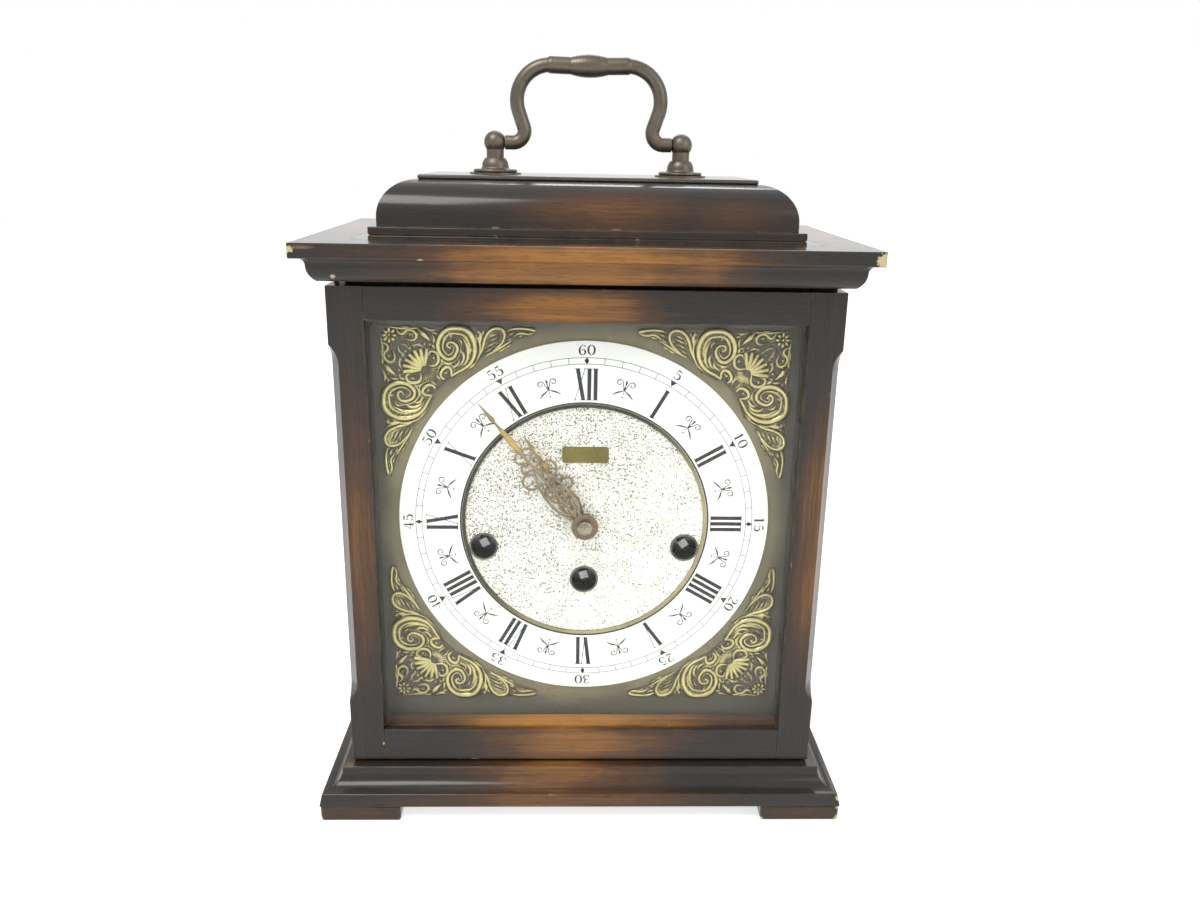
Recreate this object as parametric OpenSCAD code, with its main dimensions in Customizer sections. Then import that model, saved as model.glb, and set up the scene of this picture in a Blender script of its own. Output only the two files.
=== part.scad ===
/* [Case] */
// Width over the outside of the case sides
case_w = 222; // [216:1:228]
// Height of the case sides, between base and cornice
case_h = 232; // [230:1:240]
// Depth from the front face of the closed door to the back of the base
case_d = 138; // [136:1:146]
// Thickness of the case sides
side_t = 12; // [10:0.5:14]
// How far the case sides stop short of the back of the base
side_back_set = 3.7; // [3:0.1:5]
// Gap between the back of the closed door and the front edge of the sides
door_back_gap = 1.5; // [1.2:0.1:2]

/* [Feet] */
// Height of the feet
foot_h = 8; // [6:0.5:12]
// Width and depth of one foot
foot_w = 38; // [30:1:46]
// How far the feet stand back from the face of the base
foot_set = 0.4; // [0.2:0.1:1]
// Radius of the inner vertical edge of a foot
foot_edge_r = 2.5; // [1:0.5:4]

/* [Base] */
// How far the base stands out from the case
base_out = 14; // [13:0.5:16]
// Height of the sloping band at the bottom of the base
base_band_h = 6.2; // [5:0.1:8]
// How far the band slopes in towards its top
base_splay = 1.3; // [1:0.1:2]
// Width of the ledge between band and hollow
base_ledge = 0.6; // [0.3:0.1:0.8]
// Radius of the large hollow
base_cove_r = 7.8; // [7:0.1:8.2]
// Height of the round edge on top of the base
base_nose_h = 1.6; // [1:0.1:2]
// Width of the moulding strips inside the line of the case
strip_seat = 10; // [8:0.5:11]

/* [Cornice] */
// How far the cornice stands out from the case
cornice_out = 11.5; // [11:0.5:13]
// How far its underside stands out
cornice_under_out = 2.5; // [2:0.1:3]
// How far the swelling part stands out
cornice_swell_out = 6; // [5.5:0.1:6.5]
// Height of the swelling part
cornice_swell_h = 6.9; // [6:0.1:8]
// Radius of the hollow above it
cornice_cove_r = 3.2; // [2.8:0.1:3.6]
// Height of the plain band above the hollow
cornice_band_h = 6.4; // [5:0.1:8]

/* [Bell top] */
// Width of the flat plate on top
bell_top_w = 150; // [140:1:154]
// Depth of the flat plate on top
bell_top_d = 63.2; // [58:0.2:70]
// How far the foot of the bell top stands out from the plate
bell_out = 19; // [18:0.5:20]
// Height of the fillet at its foot
bell_fillet_h = 1.5; // [1.2:0.1:2]
// Height and depth of the groove above the fillet
bell_groove = 0.5; // [0.3:0.1:0.8]
// Height of the step above the groove
bell_step_h = 3.1; // [2.5:0.1:4]
// Radius of the upper edges of fillet and step
bell_edge_r = 0.5; // [0.3:0.1:0.6]
// Height of the upright part under the round shoulder
bell_upright_h = 3.9; // [3:0.1:5]
// Radius of the round shoulder
bell_round_r = 15.4; // [14.5:0.1:15.8]
// Thickness of the flat plate's visible edge
bell_plate_t = 2; // [1.6:0.1:3]

/* [Front door] */
// Gap between door and base
door_gap_low = 1.5; // [1:0.1:2]
// Gap between door and cornice
door_gap_high = 2; // [1.5:0.1:3]
// How far the door stands in from the sides of the case
door_side_in = 0.2; // [0:0.1:0.5]
// Thickness of the door
door_t = 16; // [15.5:0.1:18]
// Width of the stiles
stile_w = 15.5; // [15:0.1:18]
// Width of the top rail
rail_top_w = 14.5; // [13:0.1:18]
// Width of the bottom rail
rail_low_w = 16.2; // [13:0.1:20]
// Wood left in front of the glass
glass_lip = 3; // [2.5:0.1:3.4]
// Thickness of the glass
glass_t = 2; // [1.6:0.1:2.2]
// Width of the rebate that takes the glass
rebate_w = 4; // [3:0.1:5]
// Distance of the hinge axis from the edge and the back of the door
door_axis_in = 5.5; // [5:0.1:6]
// Radius of the pivot pins
door_pin_r = 1.5; // [1:0.1:1.8]
// How deep the pivot pins reach into wood
door_pin_l = 7; // [5:0.5:9]
// Width of the chamfer on the front of the door's outer edges
chamfer_x = 4; // [2:0.5:5]
// Depth of the chamfer on the sides of the door's outer edges
chamfer_y = 6; // [3:0.5:7]
// Plain length that is left below the chamfer
chamfer_stop_low = 32; // [20:1:50]
// Plain length that is left above the chamfer
chamfer_stop_high = 25; // [20:1:50]

/* [Dial] */
// Height of the hand centre above the top of the base
dial_rise = 118.5; // [118:0.5:120]
// Distance from the door's front face to the front of the chapter ring
dial_back = 16.5; // [16.4:0.1:18]
// Thickness of the dial plate
dial_plate_t = 1.5; // [1:0.1:2]
// Outside radius of the chapter ring
ring_r = 86.5; // [80:0.5:90]
// Inside radius of the chapter ring
ring_in_r = 57.5; // [57.5:0.1:60]
// Thickness of the chapter ring
ring_t = 1.3; // [1:0.1:1.6]
// Width of the brass ring inside the chapter ring
brass_ring_w = 1.6; // [1:0.1:2]
// How far the brass ring stands above the chapter ring
brass_ring_up = 0.3; // [0.1:0.1:0.5]
// Thickness of the speckled centre disc
centre_t = 0.7; // [0.5:0.1:1]
// Outside radius of the winding hole bushes
bush_r = 6.75; // [5:0.05:6.8]
// Wall of the winding hole bushes
bush_wall = 0.5; // [0.4:0.1:0.6]
// Length of the winding hole bushes
bush_l = 4.2; // [3:0.1:6]
// Width of the bare plaque
plaque_w = 21.5; // [15:0.5:26]
// Height of the bare plaque
plaque_h = 7.6; // [6:0.1:10]
// Thickness of the bare plaque
plaque_t = 0.5; // [0.3:0.1:0.8]
// Height of the plaque above the hand centre
plaque_up = 33.3; // [30:0.1:40]

/* [Corner spandrels] */
// Distance of the spandrel corners from the hand centre, along each side
spandrel_corner = 92.5; // [91:0.5:94]
// Length of one arm of a spandrel
spandrel_arm = 70; // [62:0.5:72]
// Thickness of the cast plate
spandrel_t = 0.8; // [0.6:0.1:1.2]
// Height of the raised scrolls above the cast plate
scroll_up = 1.3; // [0.8:0.1:1.8]

/* [Hands] */
// Length of the minute hand from its centre
minute_l = 76.5; // [70:0.5:82]
// Length of the hour hand from its centre
hour_l = 52.5; // [46:0.5:56]
// Thickness of the hands
hand_t = 0.9; // [0.6:0.1:1.2]
// Minute hand at rest, degrees clockwise from twelve
minute_angle = 320.4; // [0:0.1:360]
// Hour hand at rest, degrees clockwise from twelve
hour_angle = 326.7; // [0:0.1:360]
// Radius of the minute hand's boss
minute_boss_r = 6.6; // [5:0.1:8]
// Radius of the hand nut
hand_nut_r = 3.45; // [2.6:0.05:4]
// Height of the hand nut
hand_nut_h = 3.2; // [2.6:0.1:3.4]
// Distance from the chapter ring to the hour hand
hour_hand_up = 2.5; // [2:0.1:3]
// Distance from the hour hand to the minute hand
minute_hand_up = 1.8; // [1.4:0.1:2]

/* [Handle] */
// Distance between the two handle posts
post_span = 86.4; // [85:0.2:92]
// Height of the pivot above the flat plate
post_h = 14.2; // [13:0.1:17]
// Radius of the foot of a post
post_foot_r = 11.9; // [10:0.1:14]
// Radius of the ball on a post
post_ball_r = 5.1; // [4.8:0.1:6]
// Thickness of the bail
bail_t = 6.5; // [5.5:0.1:7]
// Radius of the lower bend of the bail
bail_bend_r = 5.2; // [4.8:0.1:5.6]
// How far the arms lean outwards, in degrees from upright
bail_lean = 19; // [16:1:20]
// Length of the straight part of an arm
bail_straight = 7; // [6:0.1:8.5]
// Radius of the upper corners of the bail
bail_corner_r = 15.5; // [14.5:0.5:16]
// Distance between the centres of the upper corners
bail_bar = 35; // [32:0.5:36]
// Angle by which the bar dips to its middle, in degrees
bail_dip = 2; // [1.5:0.1:5]
// Thickness of the bail between its two corners
bail_bar_t = 7.6; // [7:0.1:8]
// Thickness of the bail at the middle of the grip
grip_t = 10; // [9:0.1:12]
// Length of the swelling at the middle of the grip
grip_l = 20; // [16:0.5:28]

/* [Movement] */
// Distance from the dial plate to the front movement plate
dial_post_l = 12; // [12:0.5:14]
// Distance between the movement plates
plate_gap = 44; // [42:0.5:48]
// Thickness of the movement plates
plate_t = 2; // [1.6:0.1:2.5]
// Width of the movement plates
plate_w = 146; // [140:1:152]
// Height of the plates above the hand centre
plate_up = 48; // [46:0.5:54]
// Depth of the plates below the hand centre
plate_down = 60; // [58:0.5:66]
// Sideways distance from the hand centre to the outer winding arbors
arbor_x = 47.5; // [47:0.5:50]
// Depth of the outer winding arbors below the hand centre
arbor_side_down = 12.3; // [10:0.1:14]
// Depth of the middle winding arbor below the hand centre
arbor_mid_down = 28.8; // [28.5:0.1:30]
// Radius of the winding arbors
arbor_r = 2.5; // [2:0.1:3]
// Side of the square ends of the winding arbors
arbor_sq = 3.9; // [3.4:0.1:4.2]
// How far the square ends lie behind the front of the chapter ring
arbor_end_back = 5.5; // [5:0.1:7]
// Radius of the spring barrels
barrel_r = 19.5; // [16:0.5:20]
// Length of the spring barrels
barrel_l = 26; // [22:0.5:28]
// Teeth of the great wheels on the barrels
great_n = 78; // [72:1:80]
// Module of the great wheels
great_m = 0.6; // [0.58:0.01:0.61]
// Thickness of the great wheels
great_t = 2.2; // [1.6:0.1:2.6]
// Leaves of the intermediate pinion
inter_leaves = 13; // [12:1:14]
// Teeth of the intermediate wheel
inter_n = 60; // [58:1:62]
// Module of the intermediate wheel
inter_m = 0.5; // [0.48:0.01:0.52]
// Leaves of the centre pinion
centre_leaves = 12; // [12:1:13]
// Teeth of the centre wheel
centre_n = 72; // [64:1:72]
// Module of the centre wheel
centre_m = 0.42; // [0.4:0.01:0.42]
// Leaves of the third pinion
third_leaves = 9; // [8:1:10]
// Teeth of the third wheel
third_n = 60; // [50:1:60]
// Module of the third wheel
third_m = 0.36; // [0.3:0.01:0.38]
// Thickness of the train wheels
wheel_t = 1.3; // [1:0.1:1.6]
// Width of the pinions
pinion_t = 3; // [2.8:0.1:3.2]
// Leaves of the cannon pinion
cannon_leaves = 12; // [12:1:12]
// Teeth of the minute wheel
minute_n = 36; // [36:1:36]
// Leaves of the minute wheel's pinion
minute_leaves = 10; // [10:1:10]
// Teeth of the hour wheel
hour_n = 40; // [40:1:40]
// Module of the cannon pinion and minute wheel
motion_m = 0.5; // [0.46:0.01:0.52]
// Radius of the balance wheel
balance_r = 9.5; // [8:0.1:11]

/* [Chime] */
// Radius of the chime rods
rod_r = 1.5; // [1:0.1:2]
// Distance between neighbouring rods and hammers
rod_pitch = 8; // [7:0.1:8.4]
// Distance from the back movement plate to the first hammer
hammer_first = 8.5; // [8:0.1:10]
// Height of the rods above the top of the base
rod_rise = 42.5; // [38:0.5:46]
// Distance from the free end of the longest rod to the case side
rod_end_gap = 9; // [7:0.5:20]
// How much shorter each next rod is
rod_step = 11; // [6:0.5:14]
// Length of the hammer arms
hammer_arm = 30; // [26:0.5:34]
// Rest gap between hammer heads and rods
hammer_gap = 2; // [1:0.1:3]

/* [Back door] */
// Thickness of the back door
back_t = 6; // [5:0.1:8]
// Gap round the back door
back_gap = 0.6; // [0.5:0.1:1]
// Radius of the knuckles of the back hinges
knuckle_r = 1.7; // [1.4:0.1:1.8]
// Width of one sound slot
slot_w = 6; // [4:0.5:8]
// Number of sound slots
slot_n = 9; // [5:2:11]

/* [Hidden] */

// Faces of a round piece
$fn = 64;
// Faces of the large circles that a leaf's edges are cut from
fine_faces = 360;
bar_faces = 48;
// How far cuts run past the faces that they open
over = 1;
// Running clearance on a radius
run = 0.05;
// A quarter turn, in degrees
quarter = 90;
// Gap between moving faces
gap = 0.3;

// Colours of the finishes
walnut = "#4a3426";
walnut_light = "#7d5230";
dark_brass = "#6b6a58";
brass = "#b39a4c";
bronze = "#665e52";
steel = "#a8a8a4";
iron = "#3c3c3c";
ring_white = "#f4f4f0";
glass_tint = [0.8, 0.9, 0.9, 0.3];

// Heights
base_h = base_band_h + base_cove_r + base_nose_h;
base_top_z = foot_h + base_h;
cornice_z = base_top_z + case_h;
cornice_swell = cornice_swell_out - cornice_under_out;
cornice_swell_r = (cornice_swell * cornice_swell + cornice_swell_h * cornice_swell_h)
    / (2 * cornice_swell);
cornice_h = cornice_swell_h + cornice_cove_r + cornice_band_h;
cornice_top_z = cornice_z + cornice_h;
bell_side_h = bell_fillet_h + bell_groove + bell_step_h + bell_upright_h + bell_round_r;
bell_top_z = cornice_top_z + bell_side_h + bell_plate_t;
dial_z = base_top_z + dial_rise;

// Plan
case_hw = case_w / 2;
base_d = case_d + base_out;
back_y = base_d / 2;
door_y = base_out - base_d / 2;
door_back_y = door_y + door_t;
side_front_y = door_back_y + door_back_gap;
side_back_y = back_y - side_back_set;
inner_hw = case_hw - side_t;

// Bell top
bell_hw = bell_top_w / 2;
bell_front_y = -bell_top_d / 2;
bell_seat = 8;
bell_reveal = 0.4;
bell_panel_t = 8;
bell_plate_edge_r = 0.8;

// Handle
post_flange_h = 0.7;
post_step_r = 9.4;
post_step_z = 2.2;
post_bead_r = 0.75;
post_waist_r = 6.2;
post_cove_r = 1.2;
post_bell_r = 5.3;
post_bell_top = 7.2;
post_neck_r = 4;
post_flat = 4.4;
stud_post_r = 2.5;
stud_hole_r = stud_post_r + run;
stud_l = 14;
stud_nut_r = 4.6;
stud_nut_t = 3;
bail_pin_r = 1.7;
bail_pin_l = 3.9;
bail_pin_hole = 4;
grip_sink = 0.5;
bail_seam = 0.1;
bail_collar_l = 0.6;

// Front door
door_hw = case_hw - door_side_in;
door_low_z = base_top_z + door_gap_low;
door_high_z = cornice_z - door_gap_high;
open_hw = door_hw - stile_w;
open_low_z = door_low_z + rail_low_w;
open_high_z = door_high_z - rail_top_w;
door_axis_x = door_axis_in - door_hw;
door_axis_y = door_back_y - door_axis_in;
glass_y = door_y + glass_lip;
glass_play = 0.3;
bead_round = 1.5;
bead_back_set = 0.3;
chamfer_d = chamfer_x * chamfer_y / sqrt(chamfer_x * chamfer_x + chamfer_y * chamfer_y);
chamfer_slope = atan2(chamfer_y, chamfer_x);
chamfer_run = 9;
chamfer_reach = 20;

// Dial
ring_y = door_y + dial_back;
dial_y = ring_y + ring_t;
dial_back_y = dial_y + dial_plate_t;
dial_play = 0.5;
batten_w = 10;
batten_t = 10;
hand_hole_r = 4.5;
brass_ring_r = ring_in_r - brass_ring_w;
bush_lip = 0.3;
bush_front = 0.5;
bush_hole_r = bush_r - bush_lip + run;
plaque_edge_r = 1.2;
plate_y = dial_back_y + dial_post_l;
plate_back_y = plate_y + plate_t + plate_gap;
movement_back_y = plate_back_y + plate_t;

// Spandrels: places and radii as shares of an arm, [along one side, along the other, radius]
scroll_shares = [[0.25, 0.11, 0.085], [0.43, 0.11, 0.065], [0.37, 0.27, 0.06], [0.6, 0.075, 0.045]];
scroll_wall_share = 0.36;
berry_shares = [[0.33, 0.05, 0.026], [0.52, 0.04, 0.022], [0.68, 0.035, 0.018], [0.34, 0.18, 0.026]];
// Leaves, as [along one side, along the other, length, width, turn in degrees]
leaf_shares = [
    [0.34, 0.16, 0.3, 0.15, -12], [0.56, 0.1, 0.3, 0.12, -14], [0.75, 0.07, 0.26, 0.09, -7],
    [0.88, 0.035, 0.24, 0.05, 0], [0.4, 0.06, 0.26, 0.1, 8]
];
web_shares = [[0.05, 0.05], [0.5, 0.05], [0.62, 0.1], [0.44, 0.16], [0.38, 0.38], [0.16, 0.44], [0.1, 0.62],
    [0.05, 0.5]];
rosette_share = 0.1;
rosette_r_share = 0.075;
petal_n = 6;
shell_share = 0.29;
shell_r_share = 0.1;
shell_ribs = 5;
shell_spread = 26;
vein_share = 0.3;

// Hands
hour_hand_y = ring_y - hour_hand_up - hand_t;
minute_hand_y = hour_hand_y - minute_hand_up - hand_t;
pipe_wall = 0.9;
hour_boss_r = 4.6;
nut_dome = 1.1;
centre_arbor_r = 1;
cannon_pipe_r = centre_arbor_r + pipe_wall;
hour_pipe_r = cannon_pipe_r + run + pipe_wall;

// Pierced hands, as shares of their length and of a reference width
frame_mid_share = 0.265;
frame_l_share = 0.41;
frame_w_share = 0.15;
frame_wall_share = 0.035;
frame_end_walls = 1.5;
stem_w_share = 0.03;
needle_from_share = 0.38;
needle_w_share = 0.048;
// Loops, as [sideways, along the hand, radius]
loop_shares = [[0.064, 0.43, 0.05], [0.044, 0.53, 0.028], [0.033, 0.585, 0.03]];
loop_wall_share = 0.36;
// Barbs, as [sideways, along the hand, length, width, turn in degrees]
barb_shares = [[0.118, 0.43, 0.05, 0.016, 0], [0.108, 0.48, 0.05, 0.016, 45],
    [0.102, 0.385, 0.05, 0.016, -40], [0.014, 0.87, 0.045, 0.014, 115]];
hour_w_share = 0.8;

// Gear teeth, as shares of a module or of a tooth's pitch
wheel_up_share = 0.8;
wheel_down_share = 1.3;
wheel_tip_share = 0.18;
wheel_root_share = 0.58;
leaf_up_share = 0.8;
leaf_down_share = 1.4;
leaf_tip_share = 0.14;
leaf_mid_share = 0.38;
leaf_root_share = 0.42;
hub_share = 1.6;
rim_share = 0.84;
spoke_share = 0.13;
train_spokes = 5;
motion_spokes = 4;

// Motion work between the dial and the front plate
motion_r = motion_m * (cannon_leaves + minute_n) / 2;
hour_m = 2 * motion_r / (minute_leaves + hour_n);
motion_angle = 60;
minute_place = [motion_r * cos(motion_angle), motion_r * sin(motion_angle)];
cannon_y = plate_y - gap - pinion_t;
minute_wheel_y = cannon_y + (pinion_t - wheel_t) / 2;
hour_wheel_y = cannon_y - gap - wheel_t;
minute_pinion_y = hour_wheel_y - (pinion_t - wheel_t) / 2;
stud_r = 1.2;

// Going train between the plates, as [sideways, up] from the hand centre
arbor_places = [[-arbor_x, -arbor_side_down], [0, -arbor_mid_down], [arbor_x, -arbor_side_down]];
great_r = great_m * great_n / 2;
inter_pinion_r = great_m * inter_leaves / 2;
inter_to_centre = inter_m * (inter_n + centre_leaves) / 2;
inter_place = meet([0, 0], inter_to_centre, arbor_places[1], great_r + inter_pinion_r);
third_angle = 115;
third_r = centre_m * (centre_n + third_leaves) / 2;
third_place = [third_r * cos(third_angle), third_r * sin(third_angle)];
barrel_end = 1.5;
barrel_y = plate_y + plate_t + barrel_end;
great_y = barrel_y + barrel_l;
lift = 1.2;
inter_wheel_y = great_y + great_t + lift;
centre_wheel_y = inter_wheel_y + pinion_t + lift;
third_wheel_y = barrel_y + lift;
train_arbor_r = 1;
pivot_r = 0.6;
arbor_tip_y = minute_hand_y - hand_nut_h / 2;

// Winding arbors
arbor_end_y = ring_y + arbor_end_back;
arbor_turns = [28, 18, 35];
ratchet_n = 16;
ratchet_r = 8.5;
ratchet_t = 1.5;
ratchet_tooth = 1.1;
ratchet_steep_share = 0.15;
barrel_hub_wall = 2;
click_pivot = [13, 3.6];
click_r = 2.3;
click_points = [[13, 3], [5.3, 7.5], [8, 8.6], [14.4, 5]];
ratchet_y = plate_y - gap - ratchet_t;
arbor_pivot_r = 1.8;

// Movement frame
pillar_r = 3;
pillar_in = 7;
pillar_places = [
    [-plate_w / 2 + pillar_in, plate_up - pillar_in], [plate_w / 2 - pillar_in, plate_up - pillar_in],
    [-plate_w / 2 + pillar_in, pillar_in - plate_down], [plate_w / 2 - pillar_in, pillar_in - plate_down]
];
nut_af = 6;
hex = 6;
nut_t = 2.4;
screw_r = 1.5;
post_in = 14;
post_low = 14;
post_r = 2.5;
post_places = [
    [-plate_w / 2 + post_in, plate_up - post_in], [plate_w / 2 - post_in, plate_up - post_in],
    [-plate_w / 2 + post_in, post_low - plate_down], [plate_w / 2 - post_in, post_low - plate_down]
];
seat_t = 12;
seat_front_y = dial_back_y + batten_t;
seat_back_y = movement_back_y + 2 * lift;
seat_z = dial_z - plate_down - seat_t;
bracket_w = 12;
bracket_t = 1.6;
bracket_h = 16;
bracket_x = plate_w / 4;
screw_end = 0.6;

// Balance behind the back plate
balance_place = [0, plate_up - balance_r - pillar_in];
balance_y = movement_back_y + 4;
balance_t = 1.4;
balance_rim = 1.6;
balance_screw_n = 8;
balance_screw_r = 0.7;
cock_y = balance_y + balance_t + 3;
cock_t = 1.8;
cock_foot_r = 2.4;
cock_w = 5;

// Chime
rod_z = base_top_z + rod_rise;
rod_n = 4;
rod_first_y = movement_back_y + hammer_first;
block_w = 22;
block_h = rod_rise + 7;
block_x = 60;
rod_l = block_x + inner_hw - rod_end_gap;
block_foot = 6;
block_foot_t = 4;
hammer_x = 5;
hammer_z = dial_z - plate_down + pillar_in;
hammer_shaft_r = 1.6;
hammer_hub_r = 3;
hammer_hub_t = 6.4;
hammer_head_r = 3.6;
hammer_head_h = 9;
hammer_tip_h = 2.5;
hammer_tip_r = 2.8;
hammer_arm_r = 1;
hammer_head_z = rod_z + rod_r + hammer_gap;

// Back door
back_hw = inner_hw - back_gap;
back_low_z = base_top_z + 2 * back_gap;
back_high_z = cornice_z - 2 * back_gap;
back_door_y = side_back_y - back_t;
knuckle_x = inner_hw - back_gap / 2;
knuckle_y = side_back_y + knuckle_r + back_gap / 2;
knuckle_l = 7;
hinge_low = 34;
hinge_pin_r = 0.8;
leaf_t = 0.8;
leaf_w = 4.6;
hinge_l = 3 * knuckle_l + 2 * gap;
leaf_from = knuckle_r + gap;
hinge_places = [back_low_z + hinge_low, back_high_z - hinge_low - hinge_l];
slot_h = 70;
slot_pitch = 13;
knob_r = 5;
knob_in = 16;

// Where two circles round a and b meet, on the right of the line from b to a
function meet(a, ra, b, rb) =
    let (d = norm(a - b), u = (a - b) / d, s = (d * d + rb * rb - ra * ra) / (2 * d),
        h = sqrt(rb * rb - s * s))
    b + s * u + h * [u[1], -u[0]];

// A flat outline in the dial's plane, from y0 to y0 + t
module at_y(y0, t) {
    translate([0, y0 + t, 0]) rotate([90, 0, 0]) linear_extrude(t) children();
}

// Moves a piece of the clock's works to its place, given from the hand centre
module at_place(p) {
    translate([p[0], 0, dial_z + p[1]]) children();
}

// A piece turned round the y axis
module turned(y0) {
    translate([0, y0, 0]) rotate([-90, 0, 0]) rotate_extrude() children();
}

// A round rod along y
module rod_y(r, y0, y1) {
    translate([0, y0, 0]) rotate([-90, 0, 0]) cylinder(r = r, h = y1 - y0);
}

module mirror_copy(v) {
    children();
    mirror(v) children();
}

// A moulding strip along the front of a frame, mitred at both ends
module front_strip(hw, front_y, seat, out, z, h) {
    reach = out + over;
    intersection() {
        translate([0, front_y, z]) rotate([90, 0, -90])
            linear_extrude(2 * (hw + reach), center = true) children();
        translate([0, 0, z - over]) linear_extrude(h + 2 * over) polygon([
            [seat - hw, front_y + seat], [hw - seat, front_y + seat],
            [hw + reach, front_y - reach], [-hw - reach, front_y - reach]
        ]);
    }
}

// A moulding strip along the right side; its back end is square, or mitred if end_out is 1
module side_strip(hw, front_y, end_y, end_mitre, seat, out, z, h) {
    reach = out + over;
    intersection() {
        translate([hw, 0, z]) rotate([90, 0, 0])
            linear_extrude(2 * (end_y + reach), center = true) children();
        translate([0, 0, z - over]) linear_extrude(h + 2 * over) polygon([
            [hw - seat, front_y + seat], [hw + reach, front_y - reach],
            [hw + reach, end_y + end_mitre * reach], [hw - seat, end_y - end_mitre * seat]
        ]);
    }
}

// A pointed leaf along x, as long and wide as given
module leaf(l, w) {
    leaf_r = (l * l + w * w) / 4 / w;
    intersection() {
        translate([0, leaf_r - w / 2]) circle(leaf_r, $fn = fine_faces);
        translate([0, w / 2 - leaf_r]) circle(leaf_r, $fn = fine_faces);
    }
}

// Points round a wheel: each tooth takes its points at the radii rs and pitch shares ps
function tooth_points(n, rs, ps) = [
    for (i = [0:n - 1], k = [0:len(rs) - 1])
        let (a = (i + ps[k]) * 360 / n) rs[k] * [cos(a), sin(a)]
];

module wheel_teeth(n, m) {
    root = m * (n / 2 - wheel_down_share);
    tip = m * (n / 2 + wheel_up_share);
    polygon(tooth_points(n, [root, tip, tip, root],
        [-wheel_root_share, -wheel_tip_share, wheel_tip_share, wheel_root_share] / 2));
}

module pinion_leaves(n, m) {
    root = m * (n / 2 - leaf_down_share);
    pitch = m * n / 2;
    tip = m * (n / 2 + leaf_up_share);
    polygon(tooth_points(n, [root, pitch, tip, tip, pitch, root],
        [-leaf_root_share, -leaf_mid_share, -leaf_tip_share, leaf_tip_share, leaf_mid_share,
            leaf_root_share] / 2));
}

// The windows between the spokes of a wheel
module windows(n, m, spokes, hub) {
    rim = rim_share * m * n / 2;
    difference() {
        circle(rim);
        circle(hub);
        for (i = [0:spokes - 1]) rotate(i * 360 / spokes)
            translate([0, -spoke_share * rim / 2]) square([rim, spoke_share * rim]);
    }
}

module spoked_wheel(n, m, spokes, hub) {
    difference() {
        wheel_teeth(n, m);
        windows(n, m, spokes, hub);
    }
}

module base_board() {
    color(walnut_light)
        translate([strip_seat - case_hw, door_y + strip_seat, foot_h])
            cube([2 * (case_hw - strip_seat), back_y - door_y - strip_seat, base_h]);
}

// One step of a moulding, with its upper edge rounded
module round_step(seat, out, z0, z1, r) {
    translate([-seat, z0]) square([seat + out, z1 - z0 - r]);
    translate([-seat, z0]) square([seat + out - r, z1 - z0]);
    translate([out - r, z1 - r]) circle(r);
}

module base_profile() {
    band_out = base_out - base_splay;
    cove_out = band_out - base_ledge;
    nose_z = base_band_h + base_cove_r;
    polygon([[-strip_seat, 0], [base_out, 0], [band_out, base_band_h],
        [-strip_seat, base_band_h]]);
    difference() {
        translate([-strip_seat, 0]) square([strip_seat + cove_out, nose_z]);
        translate([cove_out, nose_z]) circle(base_cove_r, $fn = fine_faces);
    }
    round_step(strip_seat, cove_out - base_cove_r, 0, base_h, base_nose_h / 2);
}

module base_mouldings() {
    color(walnut) {
        front_strip(case_hw, door_y, strip_seat, base_out, foot_h, base_h) base_profile();
        side_strip(case_hw, door_y, back_y, 0, strip_seat, base_out, foot_h, base_h) base_profile();
        difference() {
            mirror([1, 0, 0])
                side_strip(case_hw, door_y, back_y, 0, strip_seat, base_out, foot_h, base_h)
                    base_profile();
            translate([door_axis_x, door_axis_y, base_top_z - door_pin_l])
                cylinder(r = door_pin_r + run, h = door_pin_l + over);
        }
    }
}

module feet() {
    foot_out = base_out - foot_set;
    color(walnut) for (sx = [0, 1], sy = [0, 1]) mirror([sx, 0, 0]) mirror([0, sy, 0])
        translate([case_hw + foot_out, back_y - foot_set, 0]) rotate(180) linear_extrude(foot_h) {
            square([foot_w, foot_w - foot_edge_r]);
            square([foot_w - foot_edge_r, foot_w]);
            translate([foot_w - foot_edge_r, foot_w - foot_edge_r]) circle(foot_edge_r);
        }
}

module case_sides() {
    color(walnut) mirror_copy([1, 0, 0])
        translate([inner_hw, side_front_y, base_top_z])
            cube([side_t, side_back_y - side_front_y, case_h]);
}

module seat_board() {
    color(walnut_light) translate([-inner_hw, seat_front_y, seat_z])
        cube([2 * inner_hw, seat_back_y - seat_front_y, seat_t]);
}

module top_board() {
    color(walnut_light)
        translate([strip_seat - case_hw, door_y + strip_seat, cornice_z])
            cube([2 * (case_hw - strip_seat), back_y - door_y - strip_seat, cornice_h]);
}

module cornice_profile() {
    soffit_z = cornice_swell_h + cornice_cove_r;
    cove_out = cornice_swell_out + cornice_cove_r;
    translate([-strip_seat, 0]) square([strip_seat + cornice_under_out, soffit_z]);
    intersection() {
        translate([cornice_swell_out - cornice_swell_r, cornice_swell_h])
            circle(cornice_swell_r, $fn = fine_faces);
        square([cornice_swell_out, cornice_swell_h]);
    }
    difference() {
        translate([0, cornice_swell_h]) square([cove_out, cornice_cove_r]);
        translate([cove_out, cornice_swell_h]) circle(cornice_cove_r, $fn = fine_faces);
    }
    translate([-strip_seat, soffit_z]) square([strip_seat + cornice_out, cornice_band_h]);
}

module cornice_mouldings() {
    color(walnut) {
        front_strip(case_hw, door_y, strip_seat, cornice_out, cornice_z, cornice_h) cornice_profile();
        side_strip(case_hw, door_y, back_y, 0, strip_seat, cornice_out, cornice_z, cornice_h)
            cornice_profile();
        difference() {
            mirror([1, 0, 0])
                side_strip(case_hw, door_y, back_y, 0, strip_seat, cornice_out, cornice_z, cornice_h)
                    cornice_profile();
            translate([door_axis_x, door_axis_y, cornice_z - over])
                cylinder(r = door_pin_r + run, h = door_pin_l + over);
        }
    }
}

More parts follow.
